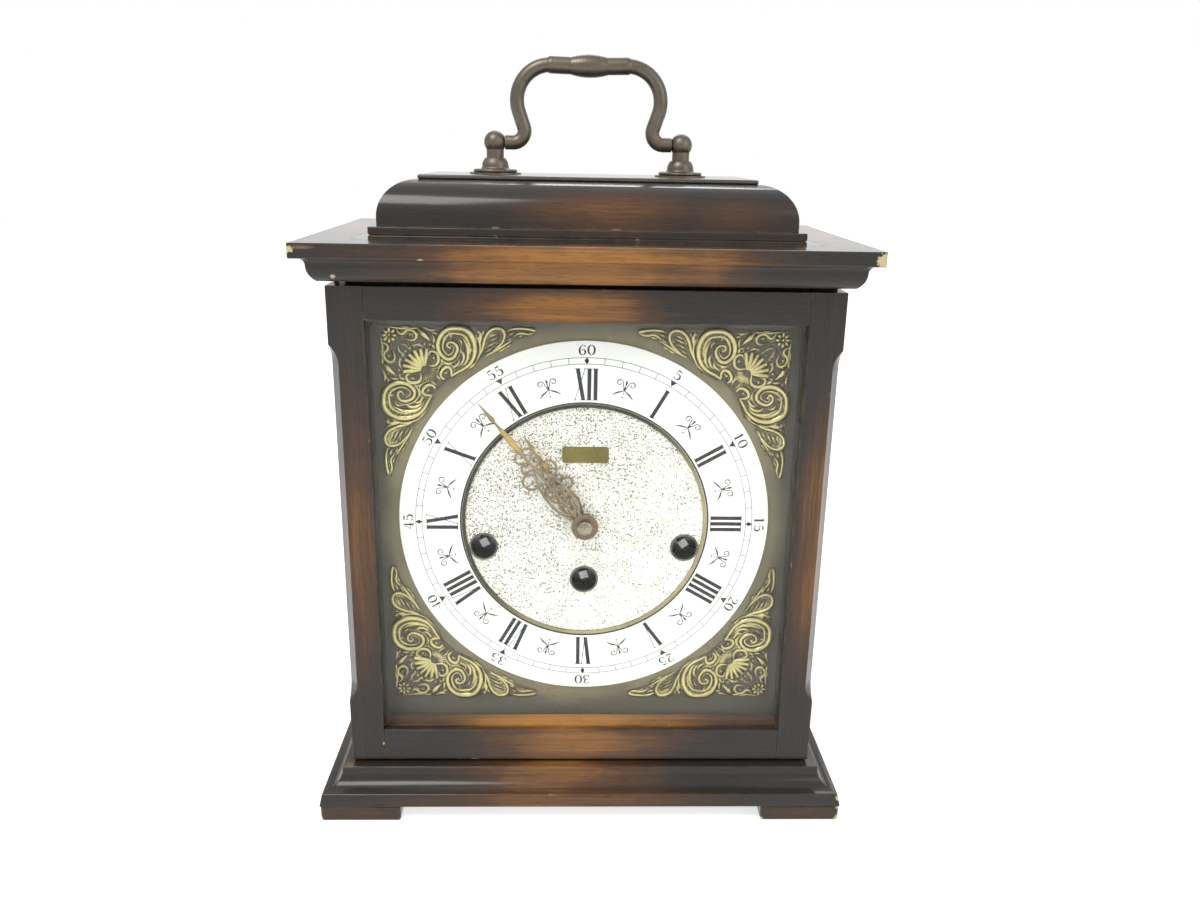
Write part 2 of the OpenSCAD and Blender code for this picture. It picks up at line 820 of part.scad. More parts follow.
module bell_profile() {
    step_z = bell_fillet_h + bell_groove;
    wall_z = step_z + bell_step_h;
    round_z = wall_z + bell_upright_h;
    translate([-bell_seat, 0]) square([bell_seat + bell_out - bell_groove, wall_z - bell_edge_r]);
    round_step(bell_seat, bell_out, 0, bell_fillet_h, bell_edge_r);
    round_step(bell_seat, bell_out, step_z, wall_z, bell_edge_r);
    translate([-bell_seat, 0]) square([bell_seat + bell_round_r + bell_reveal, round_z]);
    translate([-bell_seat, 0]) square([bell_seat + bell_reveal, bell_side_h]);
    intersection() {
        translate([bell_reveal, round_z]) circle(bell_round_r);
        translate([bell_reveal, 0]) square([bell_round_r, bell_side_h]);
    }
}

module bell_mouldings() {
    color(walnut) {
        mirror_copy([0, 1, 0])
            front_strip(bell_hw, bell_front_y, bell_seat, bell_out, cornice_top_z, bell_side_h)
                bell_profile();
        mirror_copy([1, 0, 0])
            side_strip(bell_hw, bell_front_y, -bell_front_y, 1, bell_seat, bell_out, cornice_top_z,
                bell_side_h) bell_profile();
    }
}

// A rectangle with rounded ends on its short sides
module rounded_bar(w, h, r) {
    square([w - 2 * r, h], center = true);
    square([w, h - 2 * r], center = true);
    for (sx = [-1, 1], sy = [-1, 1]) translate([sx * (w / 2 - r), sy * (h / 2 - r)]) circle(r);
}

module bell_top_panel() {
    plate_z = bell_top_z - bell_plate_t;
    color(walnut) difference() {
        union() {
            intersection() {
                translate([0, 0, bell_top_z - bell_plate_t / 2]) rotate([90, 0, 0])
                    linear_extrude(bell_top_d, center = true)
                        rounded_bar(bell_top_w, bell_plate_t, bell_plate_edge_r);
                translate([0, 0, bell_top_z - bell_plate_t / 2]) rotate([90, 0, 90])
                    linear_extrude(bell_top_w, center = true)
                        rounded_bar(bell_top_d, bell_plate_t, bell_plate_edge_r);
            }
            translate([bell_seat - bell_hw, bell_front_y + bell_seat, plate_z - bell_panel_t])
                cube([2 * (bell_hw - bell_seat), bell_top_d - 2 * bell_seat,
                    bell_panel_t + bell_plate_t / 2]);
        }
        mirror_copy([1, 0, 0]) translate([post_span / 2, 0, plate_z - bell_panel_t - over])
            cylinder(r = stud_hole_r, h = bell_panel_t + bell_plate_t + 2 * over);
    }
}

// A handle post from its flange up, revolved; heights are above the flat plate
module post_profile() {
    square([post_foot_r, post_flange_h]);
    square([post_step_r, post_step_z]);
    translate([post_step_r, post_step_z - post_bead_r]) circle(post_bead_r);
    difference() {
        square([post_waist_r + post_cove_r, post_step_z + post_cove_r]);
        translate([post_waist_r + post_cove_r, post_step_z + post_cove_r]) circle(post_cove_r);
    }
    intersection() {
        translate([post_waist_r - post_bell_r, post_step_z + post_cove_r]) circle(post_bell_r);
        square([post_waist_r, post_bell_top]);
    }
    square([post_neck_r, post_h]);
    intersection() {
        translate([0, post_h]) circle(post_ball_r);
        square([post_ball_r, post_h + post_ball_r]);
    }
}

module handle_posts() {
    color(bronze) mirror_copy([1, 0, 0]) translate([post_span / 2, 0, bell_top_z]) difference() {
        union() {
            rotate_extrude() post_profile();
            translate([0, 0, -stud_l]) cylinder(r = stud_post_r, h = stud_l + over / 2);
        }
        translate([-post_ball_r - over - post_flat, -post_ball_r, post_h - post_ball_r])
            cube([post_ball_r + over, 2 * post_ball_r, 2 * post_ball_r]);
        translate([-post_flat - over, 0, post_h]) rotate([0, 90, 0])
            cylinder(r = bail_pin_r + run, h = bail_pin_hole + over);
    }
}

module handle_nuts() {
    nut_z = bell_top_z - bell_plate_t - bell_panel_t - stud_nut_t;
    color(steel) mirror_copy([1, 0, 0]) translate([post_span / 2, 0, nut_z]) difference() {
        cylinder(r = stud_nut_r, h = stud_nut_t, $fn = hex);
        translate([0, 0, -over]) cylinder(r = stud_hole_r, h = stud_nut_t + 2 * over);
    }
}

// An arc of round bar in the x-z plane, from angle a0 to a1 round a centre
module bar_arc(centre, r, a0, a1, t) {
    translate([centre[0], 0, centre[1]]) rotate([90, 0, 0]) rotate([0, 0, a0])
        rotate_extrude(angle = a1 - a0, $fn = fine_faces)
            translate([r, 0]) circle(t / 2, $fn = bar_faces);
}

// The angle that a bar's seam takes on a bend of radius r
function seam(r) = bail_seam / r * 180 / PI;

// A thin collar that joins two lengths of the bail, square to its run
module bar_joint(p, turn) {
    translate([p[0], 0, p[1]]) rotate([0, turn, 0])
        cylinder(r = bail_t / 2 + run, h = bail_collar_l, center = true, $fn = bar_faces);
}

// Half of the bail, from its end in the left post to the middle of its grip
module half_bail(bar_r, bar_z) {
    lean = [cos(bail_lean), sin(bail_lean)];
    end_x = post_flat + gap - post_span / 2;
    bend_x = bail_straight * lean[1] - (bail_bar / 2) - (bail_corner_r + bail_bend_r) * lean[0];
    arm = [bend_x, bail_bend_r] + bail_bend_r * lean;
    arm_top = arm + bail_straight * [-lean[1], lean[0]];
    corner = arm_top + bail_corner_r * lean;
    peak = bail_corner_r * [sin(bail_dip), cos(bail_dip)] + corner;
    translate([end_x, 0, 0]) rotate([0, 90, 0]) cylinder(r = bail_t / 2, h = bend_x - end_x - bail_seam);
    translate([end_x - bail_pin_l, 0, 0]) rotate([0, 90, 0]) cylinder(r = bail_pin_r, h = bail_pin_l + over);
    bar_arc([bend_x, bail_bend_r], bail_bend_r, seam(bail_bend_r) - quarter,
        bail_lean - seam(bail_bend_r), bail_t);
    translate([arm[0], 0, arm[1]]) rotate([0, -bail_lean, 0]) translate([0, 0, bail_seam])
        cylinder(r = bail_t / 2, h = bail_straight - 2 * bail_seam);
    bar_arc(corner, bail_corner_r, quarter - bail_dip + seam(bail_corner_r),
        2 * quarter + bail_lean - seam(bail_corner_r), bail_t);
    bar_arc([0, bar_z], bar_r, seam(bar_r) - quarter - bail_dip, -quarter - seam(bar_r), bail_bar_t);
    for (p = [arm, arm_top]) bar_joint(p, -bail_lean);
    bar_joint([bend_x, 0], quarter);
    translate([peak[0], 0, peak[1]]) sphere(bail_bar_t / 2 + run, $fn = bar_faces);
}

// The swelling of the grip, revolved round its length
module grip_profile() {
    end_r = bail_bar_t / 2 - grip_sink;
    rise = grip_t / 2 - end_r;
    grip_r = (grip_l * grip_l / 4 + rise * rise) / (2 * rise);
    intersection() {
        translate([grip_t / 2 - grip_r, 0]) circle(grip_r, $fn = fine_faces);
        translate([0, -grip_l / 2]) square([grip_t / 2, grip_l]);
    }
}

module handle_bail() {
    bar_r = bail_bar / 2 / sin(bail_dip) - bail_corner_r;
    corner_z = bail_bend_r + (bail_bend_r + bail_corner_r) * sin(bail_lean) + bail_straight * cos(bail_lean);
    bar_z = corner_z + (bar_r + bail_corner_r) * cos(bail_dip);
    color(bronze) translate([0, 0, bell_top_z + post_h]) {
        mirror_copy([1, 0, 0]) half_bail(bar_r, bar_z);
        translate([0, 0, bar_z - bar_r]) rotate([0, 90, 0]) rotate_extrude() grip_profile();
    }
}

module dial_battens() {
    color(walnut_light) mirror_copy([1, 0, 0])
        translate([inner_hw - batten_w, dial_back_y, base_top_z]) cube([batten_w, batten_t, case_h]);
}

module dial_plate() {
    plate_hw = inner_hw - dial_play;
    color(dark_brass) difference() {
        translate([-plate_hw, dial_y, base_top_z + dial_play])
            cube([2 * plate_hw, dial_plate_t, case_h - 2 * dial_play]);
        at_place([0, 0]) rod_y(hand_hole_r, dial_y - over, dial_back_y + over);
        for (p = arbor_places) at_place(p) rod_y(bush_hole_r, dial_y - over, dial_back_y + over);
    }
}

module chapter_ring() {
    color(ring_white) at_place([0, 0]) at_y(ring_y, ring_t) difference() {
        circle(ring_r);
        circle(ring_in_r);
    }
}

module dial_ring() {
    color(brass) at_place([0, 0]) at_y(ring_y - brass_ring_up, ring_t + brass_ring_up) difference() {
        circle(ring_in_r - run);
        circle(brass_ring_r);
    }
}

module dial_centre() {
    color(dark_brass) difference() {
        at_place([0, 0]) at_y(dial_y - centre_t, centre_t) circle(brass_ring_r - run);
        at_place([0, 0]) rod_y(hand_hole_r, dial_y - centre_t - over, dial_y + over);
        for (p = arbor_places) at_place(p) rod_y(bush_hole_r, dial_y - centre_t - over, dial_y + over);
    }
}

module dial_plaque() {
    color(brass) at_place([0, plaque_up]) at_y(dial_y - centre_t - plaque_t, plaque_t)
        rounded_bar(plaque_w, plaque_h, plaque_edge_r);
}

module winding_bushes() {
    tube_r = bush_r - bush_lip;
    front_y = dial_y - centre_t - bush_front;
    color(iron) for (p = arbor_places) at_place(p) difference() {
        union() {
            rod_y(bush_r, front_y, front_y + bush_front);
            rod_y(tube_r, front_y, front_y + bush_l);
        }
        rod_y(tube_r - bush_wall, front_y - over, front_y + bush_l + over);
    }
}

module dial_posts() {
    color(brass) for (p = post_places) at_place(p) rod_y(post_r, dial_back_y, plate_y);
}

// One spandrel, with its outer corner at the origin and its arms along x and y
module spandrel_outline() {
    arm = spandrel_arm;
    difference() {
        union() {
            polygon(arm * web_shares);
            for (m = [0, 1]) mirror([m, -m]) {
                for (s = scroll_shares) translate([arm * s[0], arm * s[1]]) circle(arm * s[2]);
                for (s = leaf_shares) translate([arm * s[0], arm * s[1]]) rotate(s[4])
                    leaf(arm * s[2], arm * s[3]);
            }
            translate([arm * rosette_share, arm * rosette_share]) circle(arm * rosette_share);
            translate([arm * shell_share, arm * shell_share]) circle(arm * shell_r_share);
        }
        translate([spandrel_corner, spandrel_corner]) circle(ring_r + gap, $fn = fine_faces);
    }
}

// Its raised work: scrolls, leaf veins, a corner rosette and a shell
module spandrel_relief() {
    arm = spandrel_arm;
    for (m = [0, 1]) mirror([m, -m]) {
        for (s = scroll_shares) translate([arm * s[0], arm * s[1]]) difference() {
            circle(arm * s[2]);
            circle(arm * s[2] * (1 - scroll_wall_share));
        }
        for (s = leaf_shares) translate([arm * s[0], arm * s[1]]) rotate(s[4])
            leaf(arm * s[2] * (1 - vein_share / 2), arm * s[3] * vein_share);
        for (s = berry_shares) translate([arm * s[0], arm * s[1]]) circle(arm * s[2]);
    }
    translate([arm * rosette_share, arm * rosette_share]) for (i = [0:petal_n - 1])
        rotate(i * 360 / petal_n) translate([arm * rosette_r_share / 2, 0])
            leaf(arm * rosette_r_share, arm * rosette_r_share / 2);
    translate([arm * rosette_share, arm * rosette_share]) circle(arm * rosette_r_share / 3);
    translate([arm * shell_share, arm * shell_share]) circle(arm * shell_r_share / 4);
    translate([arm * shell_share, arm * shell_share]) for (i = [0:shell_ribs - 1])
        rotate(45 + (i - (shell_ribs - 1) / 2) * shell_spread) translate([arm * shell_r_share / 2, 0])
            leaf(arm * shell_r_share, arm * shell_r_share * vein_share);
}

module corner_spandrels() {
    color(brass) for (sx = [0, 1], sz = [0, 1])
        at_place([0, 0]) mirror([sx, 0, 0]) mirror([0, 0, sz])
            translate([spandrel_corner, 0, spandrel_corner]) {
                at_y(dial_y - spandrel_t, spandrel_t) rotate(180) spandrel_outline();
                at_y(dial_y - spandrel_t - scroll_up, scroll_up + spandrel_t / 2) rotate(180)
                    intersection() {
                        spandrel_relief();
                        spandrel_outline();
                    }
            }
}

// A pierced hand that points up, for a length l and a reference width w
module hand_outline(l, w, boss_r, eye_r) {
    frame_l = frame_l_share * l;
    wall = frame_wall_share * w;
    difference() {
        union() {
            circle(boss_r);
            translate([0, frame_mid_share * l]) rotate(90) leaf(frame_l, frame_w_share * w);
            translate([0, (1 + needle_from_share) * l / 2]) rotate(90)
                leaf((1 - needle_from_share) * l, needle_w_share * w);
            for (m = [0, 1]) mirror([m, 0]) {
                for (s = loop_shares) translate([s[0] * w, s[1] * l]) circle(s[2] * w);
                for (s = barb_shares) translate([s[0] * w, s[1] * l]) rotate(s[4])
                    leaf(s[2] * w, s[3] * w);
            }
        }
        difference() {
            translate([0, frame_mid_share * l]) rotate(90)
                leaf(frame_l - 2 * frame_end_walls * wall, frame_w_share * w - 2 * wall);
            translate([0, frame_mid_share * l]) rotate(90) leaf(frame_l, stem_w_share * w);
            circle(boss_r);
        }
        for (m = [0, 1], s = loop_shares) mirror([m, 0]) translate([s[0] * w, s[1] * l])
            circle(s[2] * w * (1 - loop_wall_share));
        circle(eye_r);
    }
}

module minute_hand() {
    color(bronze) at_place([0, 0]) at_y(minute_hand_y, hand_t) rotate(-minute_angle)
        hand_outline(minute_l, minute_l, minute_boss_r, cannon_pipe_r + run);
}

module hour_hand() {
    color(bronze) at_place([0, 0]) at_y(hour_hand_y, hand_t) rotate(-hour_angle)
        hand_outline(hour_l, hour_w_share * minute_l, hour_boss_r, hour_pipe_r + run);
}

module hand_nut() {
    dome_r = (hand_nut_r * hand_nut_r + nut_dome * nut_dome) / (2 * nut_dome);
    color(steel) at_place([0, 0]) turned(minute_hand_y - hand_nut_h) difference() {
        union() {
            translate([0, nut_dome]) square([hand_nut_r, hand_nut_h - nut_dome]);
            intersection() {
                translate([0, dome_r]) circle(dome_r);
                square([hand_nut_r, nut_dome]);
            }
        }
        translate([0, nut_dome]) square([centre_arbor_r + run, hand_nut_h]);
    }
}

module cannon_pinion() {
    color(brass) at_place([0, 0]) difference() {
        union() {
            at_y(cannon_y, pinion_t) rotate(motion_angle) pinion_leaves(cannon_leaves, motion_m);
            rod_y(cannon_pipe_r, minute_hand_y, cannon_y + pinion_t);
        }
        rod_y(centre_arbor_r + run, minute_hand_y - over, cannon_y + pinion_t + over);
    }
}

module centre_wheel() {
    centre_dir = atan2(-inter_place[1], -inter_place[0]);
    hub = hub_share * train_arbor_r;
    color(brass) at_place([0, 0]) {
        at_y(centre_wheel_y, wheel_t) rotate(third_angle)
            spoked_wheel(centre_n, centre_m, train_spokes, 2 * hub);
        at_y(inter_wheel_y + (wheel_t - pinion_t) / 2, pinion_t)
            rotate(centre_dir + 180 + 180 / centre_leaves) pinion_leaves(centre_leaves, inter_m);
        rod_y(hub, inter_wheel_y, centre_wheel_y + wheel_t + hub);
        rod_y(centre_arbor_r, arbor_tip_y, plate_y + plate_t + gap);
        rod_y(train_arbor_r, plate_y + plate_t, plate_back_y - gap);
        rod_y(pivot_r, plate_back_y - over, movement_back_y);
    }
}

module hour_wheel() {
    motion_back = motion_angle + 180;
    color(brass) at_place([0, 0]) difference() {
        union() {
            at_y(hour_wheel_y, wheel_t) rotate(motion_back + 180 + 180 / hour_n)
                spoked_wheel(hour_n, hour_m, motion_spokes, hour_pipe_r + pipe_wall);
            rod_y(hour_pipe_r, hour_hand_y, hour_wheel_y + wheel_t);
        }
        rod_y(cannon_pipe_r + run, hour_hand_y - over, hour_wheel_y + wheel_t + over);
    }
}

module minute_wheel() {
    color(brass) at_place(minute_place) difference() {
        union() {
            at_y(minute_wheel_y, wheel_t) rotate(motion_angle + 180 + 180 / minute_n)
                spoked_wheel(minute_n, motion_m, motion_spokes, hour_m * (minute_leaves / 2 + 1));
            at_y(minute_pinion_y, minute_wheel_y - minute_pinion_y + wheel_t / 2)
                rotate(motion_angle + 180) pinion_leaves(minute_leaves, hour_m);
        }
        rod_y(stud_r + run, minute_pinion_y - over, plate_y + over);
    }
}

// An arbor between the plates with a pivot at each end
module train_arbor() {
    rod_y(train_arbor_r, plate_y + plate_t + gap, plate_back_y - gap);
    rod_y(pivot_r, plate_y, movement_back_y);
}

module intermediate_wheel() {
    to_centre = atan2(-inter_place[1], -inter_place[0]);
    to_inter = inter_place - arbor_places[1];
    barrel_dir = atan2(to_inter[1], to_inter[0]);
    color(brass) at_place(inter_place) {
        at_y(inter_wheel_y, wheel_t) rotate(to_centre)
            spoked_wheel(inter_n, inter_m, train_spokes, 2 * hub_share * train_arbor_r);
        at_y(great_y + (great_t - pinion_t) / 2, pinion_t) rotate(barrel_dir + 180 + 180 / inter_leaves)
            pinion_leaves(inter_leaves, great_m);
        rod_y(hub_share * train_arbor_r, great_y, inter_wheel_y + wheel_t + lift);
        train_arbor();
    }
}

module third_wheel() {
    color(brass) at_place(third_place) {
        at_y(third_wheel_y, wheel_t)
            spoked_wheel(third_n, third_m, train_spokes, 2 * hub_share * train_arbor_r);
        at_y(centre_wheel_y + (wheel_t - pinion_t) / 2, pinion_t)
            rotate(third_angle + 180 + 180 / third_leaves) pinion_leaves(third_leaves, centre_m);
        rod_y(hub_share * train_arbor_r, third_wheel_y, third_wheel_y + wheel_t + lift);
        train_arbor();
    }
}

// A spring barrel with its great wheel, free to turn on its winding arbor
module barrel(place, turn) {
    color(brass) at_place(place) difference() {
        union() {
            rod_y(barrel_r, barrel_y, great_y);
            at_y(great_y, great_t) rotate(turn) wheel_teeth(great_n, great_m);
            rod_y(arbor_r + barrel_hub_wall, barrel_y - barrel_end + gap, great_y + great_t + gap);
        }
        rod_y(arbor_r + run, barrel_y - barrel_end, great_y + great_t + over);
    }
}

module time_barrel() {
    to_inter = inter_place - arbor_places[1];
    barrel(arbor_places[1], atan2(to_inter[1], to_inter[0]));
}

module strike_barrel() {
    barrel(arbor_places[0], 0);
}

module chime_barrel() {
    barrel(arbor_places[2], 0);
}

// A winding arbor with its square end and ratchet wheel
module winding_arbor(place, turn) {
    square_l = ratchet_y - lift - arbor_end_y;
    color(steel) at_place(place) {
        at_y(arbor_end_y, square_l + lift / 2) rotate(turn) square(arbor_sq, center = true);
        at_y(ratchet_y, ratchet_t) polygon(tooth_points(ratchet_n,
            [ratchet_r, ratchet_r - ratchet_tooth], [0, ratchet_steep_share]));
        rod_y(arbor_r, arbor_end_y + square_l, great_y + great_t + lift);
        rod_y(arbor_pivot_r, great_y, movement_back_y);
    }
}

module strike_winding_arbor() {
    winding_arbor(arbor_places[0], arbor_turns[0]);
}

module time_winding_arbor() {
    winding_arbor(arbor_places[1], arbor_turns[1]);
}

module chime_winding_arbor() {
    winding_arbor(arbor_places[2], arbor_turns[2]);
}

// Holes that both movement plates share
module frame_holes(y0, y1) {
    for (p = [inter_place, third_place]) at_place(p) rod_y(pivot_r + run, y0 - over, y1 + over);
    for (p = pillar_places) at_place(p) rod_y(screw_r + run, y0 - over, y1 + over);
}

module plate_block(y0) {
    translate([-plate_w / 2, y0, dial_z - plate_down]) cube([plate_w, plate_t, plate_up + plate_down]);
}

module front_plate() {
    stud_end = minute_pinion_y - gap;
    color(brass) {
        difference() {
            plate_block(plate_y);
            frame_holes(plate_y, plate_y + plate_t);
            at_place([0, 0]) rod_y(centre_arbor_r + run, plate_y - over, plate_y + plate_t + over);
            for (p = arbor_places) at_place(p) rod_y(arbor_r + run, plate_y - over, plate_y + plate_t + over);
        }
        at_place(minute_place) {
            rod_y(stud_r, stud_end, plate_y + plate_t / 2);
            rod_y(stud_r + pipe_wall, minute_wheel_y + wheel_t + gap, plate_y + plate_t / 2);
        }
    }
}

module back_plate() {
    y1 = movement_back_y;
    color(brass) difference() {
        plate_block(plate_back_y);
        frame_holes(plate_back_y, y1);
        at_place([0, 0]) rod_y(pivot_r + run, plate_back_y - over, y1 + over);
        at_place(balance_place) rod_y(pivot_r + run, plate_back_y - over, y1 + over);
        for (p = arbor_places) at_place(p) rod_y(arbor_pivot_r + run, plate_back_y - over, y1 + over);
        translate([hammer_x, 0, hammer_z]) rod_y(hammer_shaft_r + run, plate_back_y - over, y1 + over);
    }
}

module plate_pillars() {
    color(brass) for (p = pillar_places) at_place(p) {
        rod_y(pillar_r, plate_y + plate_t, plate_back_y);
        rod_y(screw_r, plate_y, movement_back_y + nut_t + screw_end);
    }
}

module pillar_nuts() {
    color(steel) for (p = pillar_places) at_place(p) difference() {
        translate([0, movement_back_y, 0]) rotate([-90, 0, 0])
            cylinder(d = nut_af / cos(180 / hex), h = nut_t, $fn = hex);
        rod_y(screw_r + run, movement_back_y - over, movement_back_y + nut_t + over);
    }
}

module movement_brackets() {
    color(steel) mirror_copy([1, 0, 0])
        translate([bracket_x - bracket_w / 2, 0, seat_z + seat_t]) {
            translate([0, plate_back_y - bracket_t, 0]) cube([bracket_w, bracket_t, bracket_h]);
            translate([0, plate_back_y - bracket_w, 0]) cube([bracket_w, bracket_w, bracket_t]);
        }
}

module winding_clicks() {
    color(steel) for (p = arbor_places) at_place(p) {
        at_y(ratchet_y, ratchet_t) polygon(click_points);
        translate([click_pivot[0], 0, click_pivot[1]]) rod_y(click_r, ratchet_y, plate_y);
    }
}

module balance_wheel() {
    color(brass) at_place(balance_place) {
        at_y(balance_y, balance_t) {
            difference() {
                circle(balance_r);
                circle(balance_r - balance_rim);
            }
            square([2 * balance_r - balance_rim, balance_rim], center = true);
            circle(balance_rim);
            for (i = [0:balance_screw_n - 1]) rotate((i + 1 / 2) * 360 / balance_screw_n)
                translate([balance_r, 0]) square(2 * balance_screw_r, center = true);
        }
        rod_y(pivot_r, plate_back_y, cock_y + cock_t);
        rod_y(train_arbor_r, movement_back_y + gap, cock_y - gap);
    }
}

module balance_cock() {
    foot_x = balance_r + cock_foot_r + 2 * lift;
    color(brass) at_place(balance_place) {
        for (sx = [-1, 1]) translate([sx * foot_x, 0, 0])
            rod_y(cock_foot_r, movement_back_y, cock_y + cock_t);
        at_y(cock_y, cock_t) difference() {
            square([2 * foot_x, cock_w], center = true);
            circle(pivot_r + run);
        }
    }
}

module chime_rods() {
    color(steel) for (i = [0:rod_n - 1])
        translate([block_x - rod_l + i * rod_step, rod_first_y + i * rod_pitch, rod_z])
            rotate([0, 90, 0]) cylinder(r = rod_r, h = rod_l - i * rod_step + block_w / 2);
}

module rod_block() {
    rods_y = (rod_n - 1) * rod_pitch;
    color(iron) difference() {
        union() {
            translate([block_x, rod_first_y - block_foot, base_top_z])
                cube([block_w, rods_y + 2 * block_foot, block_h]);
            translate([block_x - block_foot, rod_first_y - block_foot, base_top_z])
                cube([block_w + 2 * block_foot, rods_y + 2 * block_foot, block_foot_t]);
        }
        for (i = [0:rod_n - 1]) translate([block_x - over, rod_first_y + i * rod_pitch, rod_z])
            rotate([0, 90, 0]) cylinder(r = rod_r + run, h = block_w / 2 + over);
    }
}

module hammer_shaft() {
    last_y = rod_first_y + (rod_n - 1) * rod_pitch;
    color(steel) translate([hammer_x, 0, hammer_z]) {
        rod_y(hammer_shaft_r, plate_back_y, last_y + rod_pitch / 2);
        rod_y(hammer_shaft_r + hammer_arm_r, movement_back_y, movement_back_y + hammer_arm_r);
    }
}

// Chime hammer i: hub, arm and a weighted head over rod i
module chime_hammer(i) {
    hub_y = rod_first_y + i * rod_pitch;
    head_top = hammer_head_z + hammer_tip_h + hammer_head_h;
    color(iron) difference() {
        union() {
            translate([hammer_x, 0, hammer_z])
                rod_y(hammer_hub_r, hub_y - hammer_hub_t / 2, hub_y + hammer_hub_t / 2);
            translate([hammer_x, hub_y, hammer_z]) rotate([0, 90, 0])
                cylinder(r = hammer_arm_r, h = hammer_arm + hammer_arm_r);
            translate([hammer_x + hammer_arm, hub_y, 0]) {
                translate([0, 0, head_top - over])
                    cylinder(r = hammer_arm_r, h = hammer_z - head_top + over);
                translate([0, 0, hammer_head_z + hammer_tip_h])
                    cylinder(r = hammer_head_r, h = hammer_head_h);
                translate([0, 0, hammer_head_z]) cylinder(r = hammer_tip_r, h = hammer_tip_h + over);
            }
        }
        translate([hammer_x, 0, hammer_z]) rod_y(hammer_shaft_r + run, hub_y - rod_pitch, hub_y + rod_pitch);
    }
}

module chime_hammer_1() {
    chime_hammer(0);
}

module chime_hammer_2() {
    chime_hammer(1);
}

module chime_hammer_3() {
    chime_hammer(2);
}

module chime_hammer_4() {
    chime_hammer(3);
}

// The rebate that the glass and its beads lie in
module door_rebate() {
    rebate_hw = open_hw + rebate_w;
    translate([-rebate_hw, glass_y, open_low_z - rebate_w])
        cube([2 * rebate_hw, door_t, open_high_z - open_low_z + 2 * rebate_w]);
}

// The cutter for the stopped chamfer on the right edge; its ends run out in arcs
module chamfer_cut() {
    arc_r = (chamfer_run * chamfer_run + chamfer_d * chamfer_d) / (2 * chamfer_d);
    low_z = door_low_z + chamfer_stop_low + chamfer_run;
    high_z = door_high_z - chamfer_stop_high - chamfer_run;
    translate([door_hw, door_y, 0]) rotate([90, 0, 90 + chamfer_slope])
        linear_extrude(chamfer_reach, center = true) {
            translate([chamfer_d - 2 * arc_r, low_z]) square([2 * arc_r, high_z - low_z]);
            translate([chamfer_d - arc_r, low_z]) circle(arc_r);
            translate([chamfer_d - arc_r, high_z]) circle(arc_r);
        }
}

module right_stile() {
    difference() {
        translate([open_hw, door_y, door_low_z]) cube([stile_w, door_t, door_high_z - door_low_z]);
        door_rebate();
        chamfer_cut();
    }
}

module left_stile() {
    z0 = door_low_z;
    h = door_high_z - door_low_z;
    difference() {
        union() {
            translate([-door_hw, door_y, z0]) cube([stile_w, door_t - door_axis_in, h]);
            translate([door_axis_x, door_y, z0]) cube([stile_w - door_axis_in, door_t, h]);
            translate([door_axis_x, door_axis_y, z0]) cylinder(r = door_axis_in, h = h);
        }
        door_rebate();
        mirror([1, 0, 0]) chamfer_cut();
        for (z = [z0 - over, z0 + h - door_pin_l]) translate([door_axis_x, door_axis_y, z])
            cylinder(r = door_pin_r + run, h = door_pin_l + over);
    }
}

module door_stiles() {
    color(walnut) {
        right_stile();
        left_stile();
    }
}

module door_rails() {
    color(walnut) difference() {
        union() {
            translate([-open_hw, door_y, door_low_z]) cube([2 * open_hw, door_t, rail_low_w]);
            translate([-open_hw, door_y, open_high_z]) cube([2 * open_hw, door_t, rail_top_w]);
        }
        door_rebate();
    }
}

module door_pivots() {
    pin_l = 2 * door_pin_l - gap;
    color(steel) {
        translate([door_axis_x, door_axis_y, door_low_z + door_pin_l - pin_l - door_gap_low])
            cylinder(r = door_pin_r, h = pin_l + door_gap_low);
        translate([door_axis_x, door_axis_y, door_high_z - door_pin_l])
            cylinder(r = door_pin_r, h = pin_l + door_gap_high);
    }
}

module door_glass() {
    glass_hw = open_hw + rebate_w - glass_play;
    glass_low = open_low_z - rebate_w + glass_play;
    color(glass_tint) translate([-glass_hw, glass_y, glass_low])
        cube([2 * glass_hw, glass_t, open_high_z + rebate_w - glass_play - glass_low]);
}

// A bead strip with a rounded back edge, laid along z and standing in from x = 0
module bead_profile() {
    bead_t = door_back_y - bead_back_set - glass_y - glass_t;
    square([rebate_w, bead_t - bead_round]);
    square([rebate_w - bead_round, bead_t]);
    translate([rebate_w - bead_round, bead_t - bead_round]) circle(bead_round);
}

module glass_beads() {
    bead_y = glass_y + glass_t;
    low = open_low_z - rebate_w;
    high = open_high_z + rebate_w;
    bar = 2 * (open_hw - run);
    color(walnut) {
        mirror_copy([1, 0, 0]) translate([-open_hw - rebate_w, bead_y, low])
            linear_extrude(high - low) bead_profile();
        translate([bar / 2, bead_y, low]) rotate([0, -90, 0]) linear_extrude(bar) bead_profile();
        translate([-bar / 2, bead_y, high]) rotate([0, 90, 0]) linear_extrude(bar) bead_profile();
    }
}

module back_door() {
    first_x = -(slot_n - 1) / 2 * slot_pitch;
    color(walnut_light) difference() {
        translate([-back_hw, back_door_y, back_low_z])
            cube([2 * back_hw, back_t, back_high_z - back_low_z]);
        for (i = [0:slot_n - 1]) translate([first_x + i * slot_pitch, 0, dial_z])
            at_y(back_door_y - over, back_t + 2 * over) {
                square([slot_w, slot_h - slot_w], center = true);
                for (s = [-1, 1]) translate([0, s * (slot_h - slot_w) / 2]) circle(slot_w / 2);
            }
    }
}

// Leaves of one back hinge; knuckle k counts from below
module hinge_knuckle(k) {
    translate([knuckle_x, knuckle_y, k * (knuckle_l + gap)]) cylinder(r = knuckle_r, h = knuckle_l);
}

